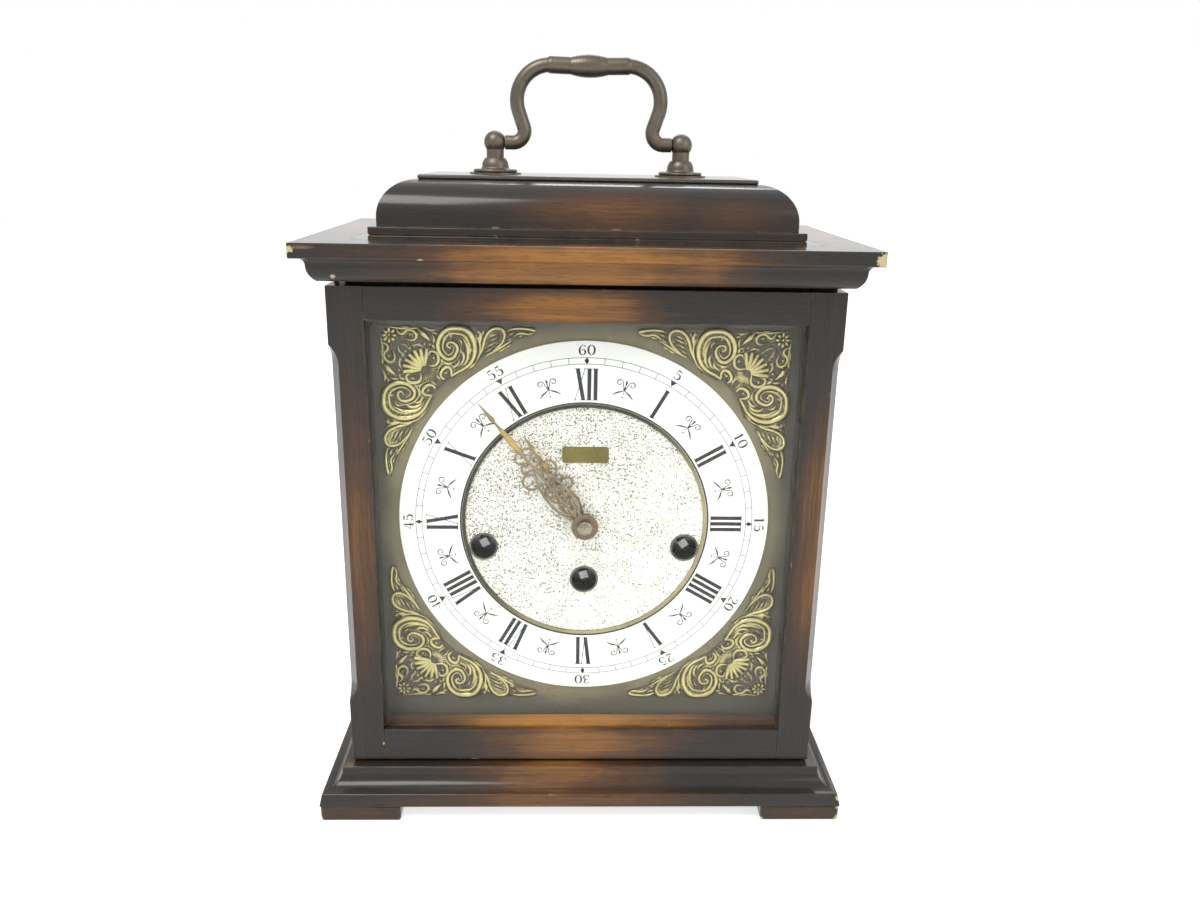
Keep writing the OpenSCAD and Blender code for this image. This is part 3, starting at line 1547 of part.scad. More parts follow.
module back_hinge_case_leaves() {
    color(brass) for (z = hinge_places) translate([0, 0, z]) {
        translate([knuckle_x + leaf_from, side_back_y, 0]) cube([leaf_w, leaf_t, hinge_l]);
        for (k = [0, 2]) {
            translate([knuckle_x, side_back_y, k * (knuckle_l + gap)])
                cube([leaf_from + over, leaf_t, knuckle_l]);
            hinge_knuckle(k);
        }
        translate([knuckle_x, knuckle_y, 0]) cylinder(r = hinge_pin_r, h = hinge_l);
    }
}

module back_hinge_door_leaves() {
    color(brass) for (z = hinge_places) translate([0, 0, z]) difference() {
        union() {
            translate([knuckle_x - leaf_from - leaf_w, side_back_y, 0]) cube([leaf_w, leaf_t, hinge_l]);
            translate([knuckle_x - leaf_from - over, side_back_y, knuckle_l + gap])
                cube([leaf_from + over, leaf_t, knuckle_l]);
            hinge_knuckle(1);
        }
        translate([knuckle_x, knuckle_y, 0]) cylinder(r = hinge_pin_r + run, h = hinge_l);
    }
}

module back_door_knob() {
    knob_h = back_y - side_back_y - gap;
    edge_r = knob_h / 4;
    color(brass) translate([knob_in - back_hw, 0, dial_z]) turned(side_back_y) {
        square([knob_r / 2, knob_h]);
        translate([0, knob_h - 2 * edge_r]) square([knob_r - edge_r, 2 * edge_r]);
        translate([knob_r - edge_r, knob_h - edge_r]) circle(edge_r);
    }
}

base_board();
base_mouldings();
feet();
case_sides();
seat_board();
top_board();
cornice_mouldings();
bell_mouldings();
bell_top_panel();
handle_posts();
handle_nuts();
handle_bail();
dial_battens();
dial_plate();
chapter_ring();
dial_centre();
dial_ring();
corner_spandrels();
dial_plaque();
winding_bushes();
dial_posts();
front_plate();
back_plate();
plate_pillars();
pillar_nuts();
movement_brackets();
winding_clicks();
balance_cock();
chime_rods();
rod_block();
hammer_shaft();
back_hinge_case_leaves();
door_stiles();
door_rails();
door_glass();
glass_beads();
door_pivots();
back_door();
back_hinge_door_leaves();
back_door_knob();
minute_hand();
hand_nut();
cannon_pinion();
centre_wheel();
hour_hand();
hour_wheel();
minute_wheel();
intermediate_wheel();
third_wheel();
time_barrel();
strike_barrel();
chime_barrel();
time_winding_arbor();
strike_winding_arbor();
chime_winding_arbor();
balance_wheel();
chime_hammer_1();
chime_hammer_2();
chime_hammer_3();
chime_hammer_4();
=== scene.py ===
"""Looks of the wooden table clock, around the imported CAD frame. Lengths are in metres."""
import math

import bmesh
import bpy
from mathutils import Matrix, Vector


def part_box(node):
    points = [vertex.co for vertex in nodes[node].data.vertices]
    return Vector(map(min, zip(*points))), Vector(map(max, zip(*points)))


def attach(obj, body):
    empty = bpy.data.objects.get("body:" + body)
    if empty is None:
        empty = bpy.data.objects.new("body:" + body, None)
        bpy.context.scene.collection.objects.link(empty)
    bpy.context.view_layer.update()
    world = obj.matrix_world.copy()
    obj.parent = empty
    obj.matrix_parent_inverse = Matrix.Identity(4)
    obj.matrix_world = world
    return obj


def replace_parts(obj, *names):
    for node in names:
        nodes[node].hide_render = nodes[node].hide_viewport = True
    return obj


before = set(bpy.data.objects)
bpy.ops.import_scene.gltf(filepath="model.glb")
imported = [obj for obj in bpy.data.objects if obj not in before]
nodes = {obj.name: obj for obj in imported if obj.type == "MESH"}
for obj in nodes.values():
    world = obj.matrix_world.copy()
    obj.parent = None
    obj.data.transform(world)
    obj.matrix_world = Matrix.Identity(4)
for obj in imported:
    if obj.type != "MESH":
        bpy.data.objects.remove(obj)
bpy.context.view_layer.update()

MM = 0.001
TURN = 2 * math.pi

# Places taken from the frame
ring_low, ring_high = [Vector(corner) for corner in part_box("chapter_ring")]
dial_middle = (ring_low + ring_high) / 2
ring_front = ring_low.y
case_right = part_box("case_sides")[1][0]
door_low, door_high = [Vector(corner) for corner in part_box("door_stiles")]
bell_low, bell_high = [Vector(corner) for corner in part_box("bell_mouldings")]
castings_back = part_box("corner_spandrels")[1][1]


# Helpers for the finishes

def put(tree, kind, inputs=None, **settings):
    """Adds one shader node; inputs that are sockets are linked, others are set."""
    made = tree.nodes.new("ShaderNode" + kind)
    for key, value in settings.items():
        setattr(made, key, value)
    for key, value in (inputs or {}).items():
        if isinstance(value, bpy.types.NodeSocket):
            tree.links.new(value, made.inputs[key])
        else:
            made.inputs[key].default_value = value
    return made


def maths(tree, operation, first, second=0.0, clamp=False):
    return put(tree, "Math", {0: first, 1: second}, operation=operation, use_clamp=clamp).outputs[0]


def times(tree, first, second, clamp=False):
    return maths(tree, "MULTIPLY", first, second, clamp)


def plus(tree, first, second, clamp=False):
    return maths(tree, "ADD", first, second, clamp)


def minus(tree, first, second, clamp=False):
    return maths(tree, "SUBTRACT", first, second, clamp)


def vectors(tree, operation, first, second=(0, 0, 0)):
    """Maths on vectors; a length or a dot product comes out as a value."""
    made = put(tree, "VectorMath", {0: first, 1: second}, operation=operation)
    return made.outputs["Value" if operation in ("LENGTH", "DOT_PRODUCT") else "Vector"]


def colour(red, green, blue):
    """A colour written in display values, as a linear colour for a socket."""
    def linear(value):
        value /= 255
        return value / 12.92 if value <= 0.04045 else ((value + 0.055) / 1.055) ** 2.4
    return (linear(red), linear(green), linear(blue), 1)


def blend(tree, share, first, second):
    """Mixes two colours, each a socket or a tone in display values."""
    first, second = [colour(*tone) if isinstance(tone, tuple) else tone for tone in (first, second)]
    return put(tree, "Mix", {0: share, 6: first, 7: second}, data_type="RGBA").outputs[2]


def stain(tree, shade, mask, share, tone):
    """Lays a tone over a shade where a mask is, at a share of its strength."""
    return blend(tree, times(tree, mask, share), shade, tone)


def tones_by(tree, level, *stops):
    """Runs through tones, each (level, tone), as a level rises."""
    ramp = put(tree, "ValToRGB", {0: level})
    steps = ramp.color_ramp.elements
    for end, (position, tone) in zip((0, 1), (stops[0], stops[-1])):
        steps[end].position, steps[end].color = position, colour(*tone)
    for position, tone in stops[1:-1]:
        steps.new(position).color = colour(*tone)
    return ramp.outputs[0]


def span(tree, value, low, high, to_low=0.0, to_high=1.0):
    """Maps a value from one range to another, smoothly and held at the ends."""
    return put(tree, "MapRange", {0: value, 1: low, 2: high, 3: to_low, 4: to_high},
               interpolation_type="SMOOTHSTEP").outputs[0]


def noise(tree, vector, scale, detail=3.0, roughness=0.5, distortion=0.0):
    return put(tree, "TexNoise", {"Vector": vector, "Scale": scale, "Detail": detail, "Roughness": roughness,
                                  "Distortion": distortion}).outputs["Fac"]


def stretched(tree, vector, x, y, z):
    return put(tree, "Mapping", {"Vector": vector, "Scale": (x, y, z)}).outputs[0]


def new_effect(name, inputs, outputs):
    """A shader node group with a Vector and further inputs; its outputs are values."""
    group = bpy.data.node_groups.new(name, "ShaderNodeTree")
    group.interface.new_socket("Vector", in_out="INPUT", socket_type="NodeSocketVector")
    for label, value in inputs.items():
        kind = "NodeSocketVector" if isinstance(value, tuple) else "NodeSocketFloat"
        group.interface.new_socket(label, in_out="INPUT", socket_type=kind).default_value = value
    for label in outputs:
        group.interface.new_socket(label, in_out="OUTPUT", socket_type="NodeSocketFloat")
    return group, group.nodes.new("NodeGroupInput").outputs, group.nodes.new("NodeGroupOutput").inputs


def effect(tree, group, **inputs):
    return put(tree, "Group", inputs, node_tree=group)


# Effects that more than one finish uses

def make_grain():
    """Fine streaks and pores that run along y of the vector."""
    group, start, end = new_effect("wood grain", {}, ["Figure", "Pores"])
    vector = start["Vector"]
    figure = noise(group, stretched(group, vector, 90, 7, 90), 1.0, 4, 0.6, 0.6)
    streaks = noise(group, stretched(group, vector, 700, 18, 700), 1.0, 3, 0.55)
    pores = noise(group, stretched(group, vector, 2600, 130, 2600), 1.0, 2, 0.5)
    group.links.new(plus(group, times(group, figure, 0.6), times(group, streaks, 0.4)), end["Figure"])
    group.links.new(span(group, pores, 0.56, 0.68), end["Pores"])
    return group


def make_patch(name, reach, cloud, unevenness, border):
    """A patch round a centre: 1 in its middle and 0 past its reach, with an uneven border."""
    group, start, end = new_effect(name, {"Centre": (0, 0, 0), "Reach": (reach, reach, reach)}, ["Patch"])
    away = vectors(group, "SUBTRACT", start["Vector"], start["Centre"])
    far = vectors(group, "LENGTH", vectors(group, "DIVIDE", away, start["Reach"]))
    drift = times(group, minus(group, noise(group, start["Vector"], *cloud), 0.5), unevenness)
    group.links.new(span(group, plus(group, far, drift), *border), end["Patch"])
    return group


def make_edge_wear():
    """Where sharp edges are rubbed: Line is a thin rim, Chips are broken, deeper spots."""
    group, start, end = new_effect("edge wear", {"Width": 0.0012, "Amount": 0.5}, ["Line", "Chips"])
    rounded = put(group, "Bevel", {"Radius": start["Width"]}, samples=4).outputs[0]
    straight = put(group, "NewGeometry").outputs["Normal"]
    edge = span(group, vectors(group, "DOT_PRODUCT", rounded, straight), 0.995, 0.88)
    limit = times(group, minus(group, 1.0, start["Amount"]), 0.75)
    line = span(group, minus(group, noise(group, start["Vector"], 130, 4, 0.6), limit), -0.05, 0.2)
    chips = span(group, noise(group, start["Vector"], 55, 3, 0.65), 0.66, 0.7)
    group.links.new(times(group, edge, line), end["Line"])
    group.links.new(times(group, edge, chips), end["Chips"])
    return group


def make_patina():
    """Cloudy tarnish with fine specks, for metals."""
    group, start, end = new_effect("patina", {"Scale": 60.0}, ["Cloud", "Specks"])
    cloud = noise(group, start["Vector"], start["Scale"], 5, 0.6, 0.4)
    fine = noise(group, start["Vector"], times(group, start["Scale"], 11.0), 3, 0.6)
    group.links.new(span(group, cloud, 0.3, 0.72), end["Cloud"])
    group.links.new(span(group, fine, 0.56, 0.74), end["Specks"])
    return group


def make_handling():
    """Smears and dust that only change how glossy a varnish or metal is."""
    group, start, end = new_effect("handling marks", {"Low": 0.3, "High": 0.5}, ["Roughness"])
    smear = noise(group, start["Vector"], 28, 5, 0.6, 1.2)
    group.links.new(span(group, smear, 0.32, 0.7, start["Low"], start["High"]), end["Roughness"])
    return group


grain_effect = make_grain()
glow_effect = make_patch("sunburst middle", 0.1, (22, 4, 0.55), 0.75, (1.05, 0.1))
wear_effect = make_edge_wear()
spot_effect = make_patch("ragged spot", 0.002, (900, 3, 0.7), 1.6, (1.0, 0.8))
patina_effect = make_patina()
handling_effect = make_handling()


# The finishes

def new_finish(name, **fixed):
    """A material with its Principled shader; fixed values go straight onto the shader's sockets."""
    made = bpy.data.materials.new(name)
    made.use_nodes = True
    tree = made.node_tree
    shader = tree.nodes["Principled BSDF"]
    for key, value in fixed.items():
        shader.inputs[key.replace("_", " ")].default_value = value
    return made, tree, shader


def place_of(tree):
    return put(tree, "TexCoord").outputs["Object"]


def film_on(tree, place, scale):
    """The cloud and the specks of the film on a surface."""
    film = effect(tree, patina_effect, Vector=place, Scale=scale)
    return film.outputs["Cloud"], film.outputs["Specks"]


def patch_on(tree, group, place, centre, reach):
    """A glow, a rubbed line or a chip, with its centre and reach in mm."""
    centre, reach = Vector(centre) * MM, Vector(reach) * MM
    return effect(tree, group, Vector=place, Centre=centre, Reach=reach).outputs["Patch"]


def lay_on(tree, shader, place, shade, height, strength, depth, rough=None):
    """Gives a shader its colour, its bumps (depth in mm) and its roughness between two values."""
    tree.links.new(shade, shader.inputs["Base Color"])
    bump = put(tree, "Bump", {"Height": height, "Strength": strength, "Distance": depth * MM})
    tree.links.new(bump.outputs[0], shader.inputs["Normal"])
    if rough is not None:
        marks = effect(tree, handling_effect, Vector=place, Low=rough[0], High=rough[1])
        tree.links.new(marks.outputs["Roughness"], shader.inputs["Roughness"])


def from_dial_middle(tree, place):
    """How far a place lies from the dial's middle, seen from the front."""
    away = vectors(tree, "SUBTRACT", place, dial_middle)
    return vectors(tree, "LENGTH", vectors(tree, "MULTIPLY", away, (1, 0, 1)))


def grain_along(tree, place, axis):
    """Turns a place so that the grain, which runs along y, runs along the given axis."""
    if axis == "y":
        return place
    turns = {"x": (0, 0, math.pi / 2), "z": (math.pi / 2, 0, 0)}
    return put(tree, "Mapping", {"Vector": place, "Rotation": turns[axis]}).outputs[0]


def mitred_grain(tree, place, corner, both_ends=False):
    """Grain along x on a front strip and along y on the side strips, split at the mitres.
    Corner is what x and y add up to along a mitre."""
    parts = put(tree, "SeparateXYZ", {0: place})
    across = maths(tree, "ABSOLUTE", parts.outputs["X"])
    deep = parts.outputs["Y"]
    if both_ends:
        deep = times(tree, maths(tree, "ABSOLUTE", deep), -1.0)
    side = maths(tree, "GREATER_THAN", plus(tree, across, deep), corner)
    turned = grain_along(tree, place, "x")
    return put(tree, "Mix", {0: side, 4: turned, 5: place}, data_type="VECTOR").outputs[1]


STAIN_DARK = (49, 46, 43)
STAIN_BROWN = (88, 62, 42)
STAIN_AMBER = (160, 110, 54)
BARE_WOOD = (204, 188, 150)


def walnut(name, along, glows, wear=0.35, mitre=None, both_ends=False, chips=(), worn_lines=(),
           gloss=1.32):
    """Stained and varnished walnut: dark at its ends, with a lighter middle at each glow.
    A glow is (centre in mm, reach in mm, strength), a chip or a worn line (centre in mm, reach in mm)."""
    made, tree, shader = new_finish(name, Coat_Roughness=0.17, Coat_IOR=gloss, IOR=1.5,
                                    Specular_IOR_Level=0.05)
    place = place_of(tree)
    if mitre is None:
        turned = grain_along(tree, place, along)
    else:
        turned = mitred_grain(tree, place, mitre, both_ends)
    grain = effect(tree, grain_effect, Vector=turned)
    glow = None
    for centre, reach, strength in glows:
        middle = times(tree, patch_on(tree, glow_effect, place, centre, reach), strength)
        glow = middle if glow is None else maths(tree, "MAXIMUM", glow, middle)
    figure = span(tree, grain.outputs["Figure"], 0.32, 0.68, -0.22, 0.22)
    level = plus(tree, glow, times(tree, figure, plus(tree, glow, 0.4)), clamp=True)
    shade = tones_by(tree, level, (0.0, STAIN_DARK), (0.45, STAIN_BROWN), (1.0, STAIN_AMBER))
    pores = times(tree, grain.outputs["Pores"], 0.4)
    shade = blend(tree, pores, shade, (24, 19, 17))
    worn = effect(tree, wear_effect, Vector=place, Width=0.0011, Amount=wear)
    shade = stain(tree, shade, worn.outputs["Line"], 0.5, (128, 100, 72))
    for centre, reach in worn_lines:
        shade = stain(tree, shade, patch_on(tree, glow_effect, place, centre, reach), 0.55, (150, 122, 92))
    broken = times(tree, worn.outputs["Chips"], 0.75)
    for centre, reach in chips:
        broken = maths(tree, "MAXIMUM", broken, patch_on(tree, spot_effect, place, centre, reach))
    coat = minus(tree, 1.0, times(tree, broken, 0.95), clamp=True)
    tree.links.new(coat, shader.inputs["Coat Weight"])
    lay_on(tree, shader, place, blend(tree, broken, shade, BARE_WOOD),
           minus(tree, grain.outputs["Figure"], pores), 0.2, 0.1, (0.36, 0.52))
    return made


def plain_board(name, along, tone, dark):
    """Unvarnished inner wood."""
    made, tree, shader = new_finish(name, Roughness=0.7, Specular_IOR_Level=0.2)
    place = place_of(tree)
    grain = effect(tree, grain_effect, Vector=grain_along(tree, place, along))
    shade = blend(tree, span(tree, grain.outputs["Figure"], 0.3, 0.7), tone, dark)
    shade = stain(tree, shade, film_on(tree, place, 14.0)[0], 0.25, dark)
    shade = stain(tree, shade, grain.outputs["Pores"], 0.5, (58, 38, 26))
    lay_on(tree, shader, place, shade, grain.outputs["Figure"], 0.35, 0.2)
    return made


def metal(name, tone, tarnish, scale, low, high, metallic=1.0, tarnish_share=0.6, dark=None, brushed=None,
          wear=None, wear_tone=None):
    """Metal with cloudy tarnish, dark specks, optional brush lines and bright rubbed edges."""
    made, tree, shader = new_finish(name, Metallic=metallic, Specular_IOR_Level=0.5)
    place = place_of(tree)
    cloud, specks = film_on(tree, place, scale)
    shade = blend(tree, times(tree, cloud, tarnish_share), tone, tarnish)
    if dark is not None:
        shade = stain(tree, shade, specks, 0.55, dark)
    if wear is not None:
        worn = effect(tree, wear_effect, Vector=place, Width=0.0005, Amount=wear)
        shade = stain(tree, shade, worn.outputs["Line"], 0.7, wear_tone)
    height = specks
    if brushed is not None:
        lines = noise(tree, stretched(tree, place, *brushed), 1.0, 2, 0.6)
        height = plus(tree, lines, times(tree, height, 0.3))
    lay_on(tree, shader, place, shade, height, 0.1, 0.05, (low, high))
    if brushed is not None:
        rough = shader.inputs["Roughness"]
        smears = rough.links[0].from_socket
        tree.links.new(plus(tree, smears, times(tree, lines, 0.12)), rough)
    return made


def dial_patina():
    """The painted, antiqued dial plate: grey-green, browner near the chapter ring."""
    made, tree, shader = new_finish("antiqued dial plate", Metallic=0.1, Specular_IOR_Level=0.3)
    place = place_of(tree)
    far = from_dial_middle(tree, place)
    cloud, specks = film_on(tree, place, 26.0)
    near = span(tree, plus(tree, far, times(tree, cloud, 0.005)), 0.101, 0.088)
    shade = blend(tree, near, (90, 89, 79), (134, 127, 98))
    shade = stain(tree, shade, cloud, 0.3, (112, 99, 74))
    shade = stain(tree, shade, specks, 0.35, (52, 50, 44))
    lines = noise(tree, stretched(tree, place, 60, 60, 2400), 1.0, 2, 0.6)
    lay_on(tree, shader, place, shade, lines, 0.12, 0.04, (0.4, 0.6))
    return made


def enamel_white():
    """Smooth off-white lacquer of the chapter ring."""
    made, tree, shader = new_finish("white dial lacquer", Coat_Weight=0.2, Coat_Roughness=0.2, Roughness=0.4)
    place = place_of(tree)
    cloud, specks = film_on(tree, place, 30.0)
    shade = blend(tree, times(tree, cloud, 0.35), (244, 246, 240),
                  (234, 236, 224))
    shade = stain(tree, shade, specks, 0.04, (150, 146, 130))
    lay_on(tree, shader, place, shade, specks, 0.03, 0.03)
    return made


def speckled_centre():
    """Creamy white with fine black and brown spatter, which lies thicker at the upper left."""
    made, tree, shader = new_finish("speckled dial centre", Roughness=0.5, Specular_IOR_Level=0.35)
    place = place_of(tree)
    cloud, specks = film_on(tree, place, 30.0)
    shade = blend(tree, cloud, (246, 246, 238), (236, 235, 220))
    shift = put(tree, "TexNoise", {"Vector": place, "Scale": 2600.0, "Detail": 2.0}).outputs["Color"]
    ragged = vectors(tree, "ADD", place, vectors(tree, "MULTIPLY", shift, (0.0009, 0.0009, 0.0009)))
    parts = put(tree, "SeparateXYZ", {0: place})
    lean = minus(tree, parts.outputs["Z"], parts.outputs["X"])
    lean = span(tree, minus(tree, lean, dial_middle.z - dial_middle.x), -0.08, 0.07, 0.12, 0.36)
    crowd = plus(tree, times(tree, noise(tree, place, 70, 3, 0.6), 0.6), lean)
    for scale, size_low, size_high, tone, share in (
            (1000.0, -0.06, 0.42, (50, 52, 38), 1.0), (1500.0, -0.04, 0.44, (84, 84, 62), 0.95),
            (2100.0, 0.04, 0.46, (124, 118, 88), 0.8), (700.0, -0.28, 0.26, (124, 94, 52), 0.85)):
        cells = put(tree, "TexVoronoi", {"Vector": ragged, "Scale": scale, "Randomness": 1.0}, feature="F1")
        size = put(tree, "SeparateColor", {0: cells.outputs["Color"]}).outputs[0]
        reach = span(tree, plus(tree, times(tree, size, 0.8), crowd), 0.5, 1.4,
                     size_low, size_high)
        spot = maths(tree, "LESS_THAN", cells.outputs["Distance"], reach)
        shade = stain(tree, shade, spot, share, tone)
    lay_on(tree, shader, place, shade, specks, 0.05, 0.03)
    return made


def rim_brass():
    """The bevelled rim between dial centre and chapter ring: painted shade darkens it towards the upper left,
    where it faces away from the key light.
    """
    made, tree, shader = new_finish("bevelled rim brass", Metallic=0.8, Specular_IOR_Level=0.5)
    place = place_of(tree)
    parts = put(tree, "SeparateXYZ", {0: place})
    lean = minus(tree, parts.outputs["X"], parts.outputs["Z"])
    lean = span(tree, plus(tree, lean, dial_middle.z - dial_middle.x), -0.03, 0.06)
    cloud, specks = film_on(tree, place, 70.0)
    # Painted shade: the brass runs to a dark tone towards the upper left
    shade = blend(tree, lean, (50, 49, 41), (168, 157, 120))
    shade = stain(tree, shade, cloud, 0.35, (104, 94, 62))
    lay_on(tree, shader, place, shade, specks, 0.08, 0.03, (0.3, 0.44))
    return made


def hand_bronze(name, gold_from, gold_to):
    """Tarnished pierced hand with rubbed golden brass between two distances from its boss, in mm."""
    made, tree, shader = new_finish(name, Metallic=0.85, Specular_IOR_Level=0.5)
    place = place_of(tree)
    far = from_dial_middle(tree, place)
    cloud, specks = film_on(tree, place, 90.0)
    pink = span(tree, noise(tree, place, 240, 3, 0.6), 0.5, 0.62)
    shade = blend(tree, times(tree, cloud, 0.6), (146, 132, 104), (110, 99, 78))
    shade = stain(tree, shade, pink, 0.45, (178, 148, 122))
    shade = stain(tree, shade, specks, 0.5, (60, 52, 40))
    shade = blend(tree, span(tree, far, 0.0085, 0.0055), shade, (112, 99, 80))
    gold = times(tree, span(tree, far, (gold_from - 4) * MM, gold_from * MM),
                 span(tree, far, (gold_to + 3) * MM, gold_to * MM))
    shade = stain(tree, shade, gold, 0.9, (184, 158, 96))
    tip = span(tree, far, gold_to * MM, (gold_to + 4) * MM)
    shade = stain(tree, shade, tip, 0.7, (140, 126, 80))
    lay_on(tree, shader, place, shade, specks, 0.12, 0.05, (0.3, 0.48))
    return made


def print_black():
    """Dial printing ink, a little uneven in density."""
    made, tree, shader = new_finish("dial ink", Roughness=0.45, Specular_IOR_Level=0.3)
    place = place_of(tree)
    cloud, specks = film_on(tree, place, 120.0)
    shade = blend(tree, cloud, (34, 36, 34), (50, 52, 48))
    lay_on(tree, shader, place, shade, specks, 0.05, 0.02)
    return made


GLASS_TINT = (251.64, 253.33, 252.77)


def clear_glass():
    """Window glass with faint smears; light passes it for shadow rays."""
    made, tree, shader = new_finish("door glass pane", Transmission_Weight=1.0, IOR=1.22, Roughness=0.0)
    place = place_of(tree)
    haze = effect(tree, handling_effect, Vector=place, Low=0.0, High=0.03)
    tree.links.new(haze.outputs["Roughness"], shader.inputs["Roughness"])
    cloud = film_on(tree, place, 18.0)[0]
    tree.links.new(blend(tree, cloud, (255, 255, 255), GLASS_TINT), shader.inputs["Base Color"])
    clear = put(tree, "BsdfTransparent").outputs[0]
    shadow = put(tree, "LightPath").outputs["Is Shadow Ray"]
    both = put(tree, "MixShader", {0: shadow, 1: shader.outputs[0], 2: clear})
    tree.links.new(both.outputs[0], tree.nodes["Material Output"].inputs["Surface"])
    return made


def finish_with(material, *names):
    """Gives CAD nodes or new pieces their material."""
    for name in names:
        mesh = (nodes.get(name) or bpy.data.objects[name]).data
        if len(mesh.materials) == 0:
            mesh.materials.append(material)
        for index in range(len(mesh.materials)):
            mesh.materials[index] = material


rail_top = door_high.z / MM - 7
rail_low = door_low.z / MM + 8

finish_with(walnut("walnut base mouldings", "x", [
    ((-10, -70, 22), (70, 24, 14), 0.72), ((-4, -76, 11), (96, 20, 10), 0.5),
    ((115, 10, 17), (30, 62, 16), 0.45), ((-115, 10, 17), (30, 62, 16), 0.45)],
    wear=0.5, mitre=case_right + door_low.y,
    chips=[((-91.9, -70.5, 20.1), (1.0, 2, 1.0)), ((-36.6, -72, 21), (1.1, 2, 0.8)),
           ((124, -75.3, 12.6), (1.5, 2.2, 1.7)), ((20, -72, 20.6), (0.6, 2, 0.6))],
    worn_lines=[((-112, -66, 24.2), (4.5, 6, 1.2)), ((118, -70, 20), (2.5, 6, 5))]), "base_mouldings")
finish_with(walnut("walnut feet", "x", [
    ((-106, -60, 3), (40, 40, 12), 0.28), ((106, -60, 3), (40, 40, 12), 0.28)], wear=0.75,
    chips=[((124.5, -75.5, 1), (2.2, 3, 2.4)), ((124.5, -75.5, 7.6), (1.6, 2, 1.4)),
           ((-124.5, -75.5, 1), (1.2, 2, 1.8)), ((87, -75.5, 1), (1.4, 2, 1.2))]), "feet")
finish_with(walnut("walnut case sides", "z", [
    ((111, 14, 138), (30, 62, 96), 0.6), ((-111, 14, 138), (30, 62, 96), 0.6)], wear=0.4), "case_sides")
finish_with(walnut("walnut cornice", "x", [
    ((-8, -74, 259), (100, 20, 26), 1.35), ((-4, -76, 266), (112, 16, 14), 1.1),
    ((114, 10, 265), (22, 70, 20), 0.6), ((-114, 10, 265), (22, 70, 20), 0.6),
    ((0, 10, 272), (90, 40, 4), 0.2)],
    wear=0.6, mitre=case_right + door_low.y,
    chips=[((-68.8, -73.5, 265.6), (1.6, 2, 0.7)), ((121.6, -73.0, 268.2), (3.6, 4.5, 3.4)),
           ((-122, -73, 269.5), (2.4, 3, 1.4)), ((-122, -73, 264), (1.0, 2, 0.9)),
           ((119, -73, 262.4), (2.0, 2, 0.9)), ((-106, -66, 258), (1.4, 3, 1.0))],
    worn_lines=[((-117, -73.4, 270.4), (7, 3, 1.0)), ((0, -73.4, 270.6), (44, 3, 0.5))]), "cornice_mouldings")
finish_with(walnut("walnut bell mouldings", "x", [
    ((6, -48, 286), (46, 20, 14), 0.42), ((62, -48, 284), (26, 16, 10), 0.26),
    ((84, 0, 286), (20, 30, 14), 0.35), ((-84, 0, 286), (20, 30, 14), 0.35),
    ((0, 48, 286), (50, 20, 14), 0.4)],
    wear=0.5, mitre=bell_high.x + bell_low.y, both_ends=True,
    chips=[((-0.9, -32, 297.4), (1.6, 3, 0.8)), ((15, -32, 297.4), (1.4, 3, 0.8)),
           ((38, -49.5, 290), (0.5, 2, 0.5))],
    worn_lines=[((-20, -50.4, 271.5), (46, 3, 0.7))]), "bell_mouldings")
finish_with(walnut("walnut top boards", "x", [((0, 0, 298), (70, 40, 12), 0.3)], wear=0.45, gloss=1.7),
            "bell_top_panel", "top_board")
finish_with(walnut("walnut door stiles", "z", [
    ((104, -62, 140), (11, 14, 84), 0.62), ((-101, -62, 128), (12, 14, 80), 0.55)], wear=0.35,
    chips=[((-95.5, -62, 34), (0.6, 2, 0.8))]), "door_stiles")
finish_with(walnut("walnut door rails", "x", [
    ((-6, -62, rail_top - 2), (62, 20, 16), 0.86), ((0, -62, rail_low), (74, 20, 20), 0.8)], wear=0.35,
    chips=[((-22, -62, 42), (3.2, 2, 0.5)), ((70, -62, 42), (2.6, 2, 0.6))]), "door_rails")
finish_with(walnut("walnut glass beads", "x", [((0, -54, 41), (120, 24, 14), 0.9)], wear=0.3), "glass_beads")

finish_with(plain_board("bare base board", "x", (126, 92, 62), (92, 64, 42)), "base_board")
finish_with(plain_board("bare battens", "z", (138, 100, 66), (98, 68, 44)), "dial_battens")
finish_with(plain_board("bare seat board", "x", (150, 112, 76), (108, 76, 50)), "seat_board")
finish_with(plain_board("bare back door", "z", (112, 76, 48), (72, 46, 30)), "back_door")

finish_with(metal("antique bronze", (108, 99, 88), (84, 80, 71), 55.0, 0.36, 0.52,
                  dark=(60, 56, 50), wear=0.45, wear_tone=(138, 116, 94), metallic=0.85),
            "handle_posts", "handle_bail")
finish_with(metal("steel fittings", (168, 168, 164), (120, 118, 112), 80.0, 0.24, 0.42,
                  dark=(92, 88, 80)), "handle_nuts", "pillar_nuts", "movement_brackets", "winding_clicks",
            "hammer_shaft", "door_pivots")
finish_with(metal("bright rod steel", (176, 176, 172), (140, 138, 130), 120.0, 0.2, 0.36,
                  brushed=(30, 2400, 2400), dark=(104, 98, 88)), "chime_rods")
finish_with(metal("grey arbor steel", (150, 152, 150), (110, 110, 106), 90.0, 0.26, 0.44,
                  dark=(80, 78, 72)), "time_winding_arbor", "strike_winding_arbor", "chime_winding_arbor")
finish_with(metal("domed nut steel", (152, 144, 128), (118, 110, 96), 120.0, 0.16, 0.3,
                  dark=(84, 76, 64)), "hand_nut")
finish_with(metal("plate brass", (196, 172, 112), (152, 128, 78), 24.0, 0.2, 0.38,
                  brushed=(30, 2600, 2600), dark=(116, 92, 48), tarnish_share=0.5),
            "front_plate", "back_plate", "balance_cock")
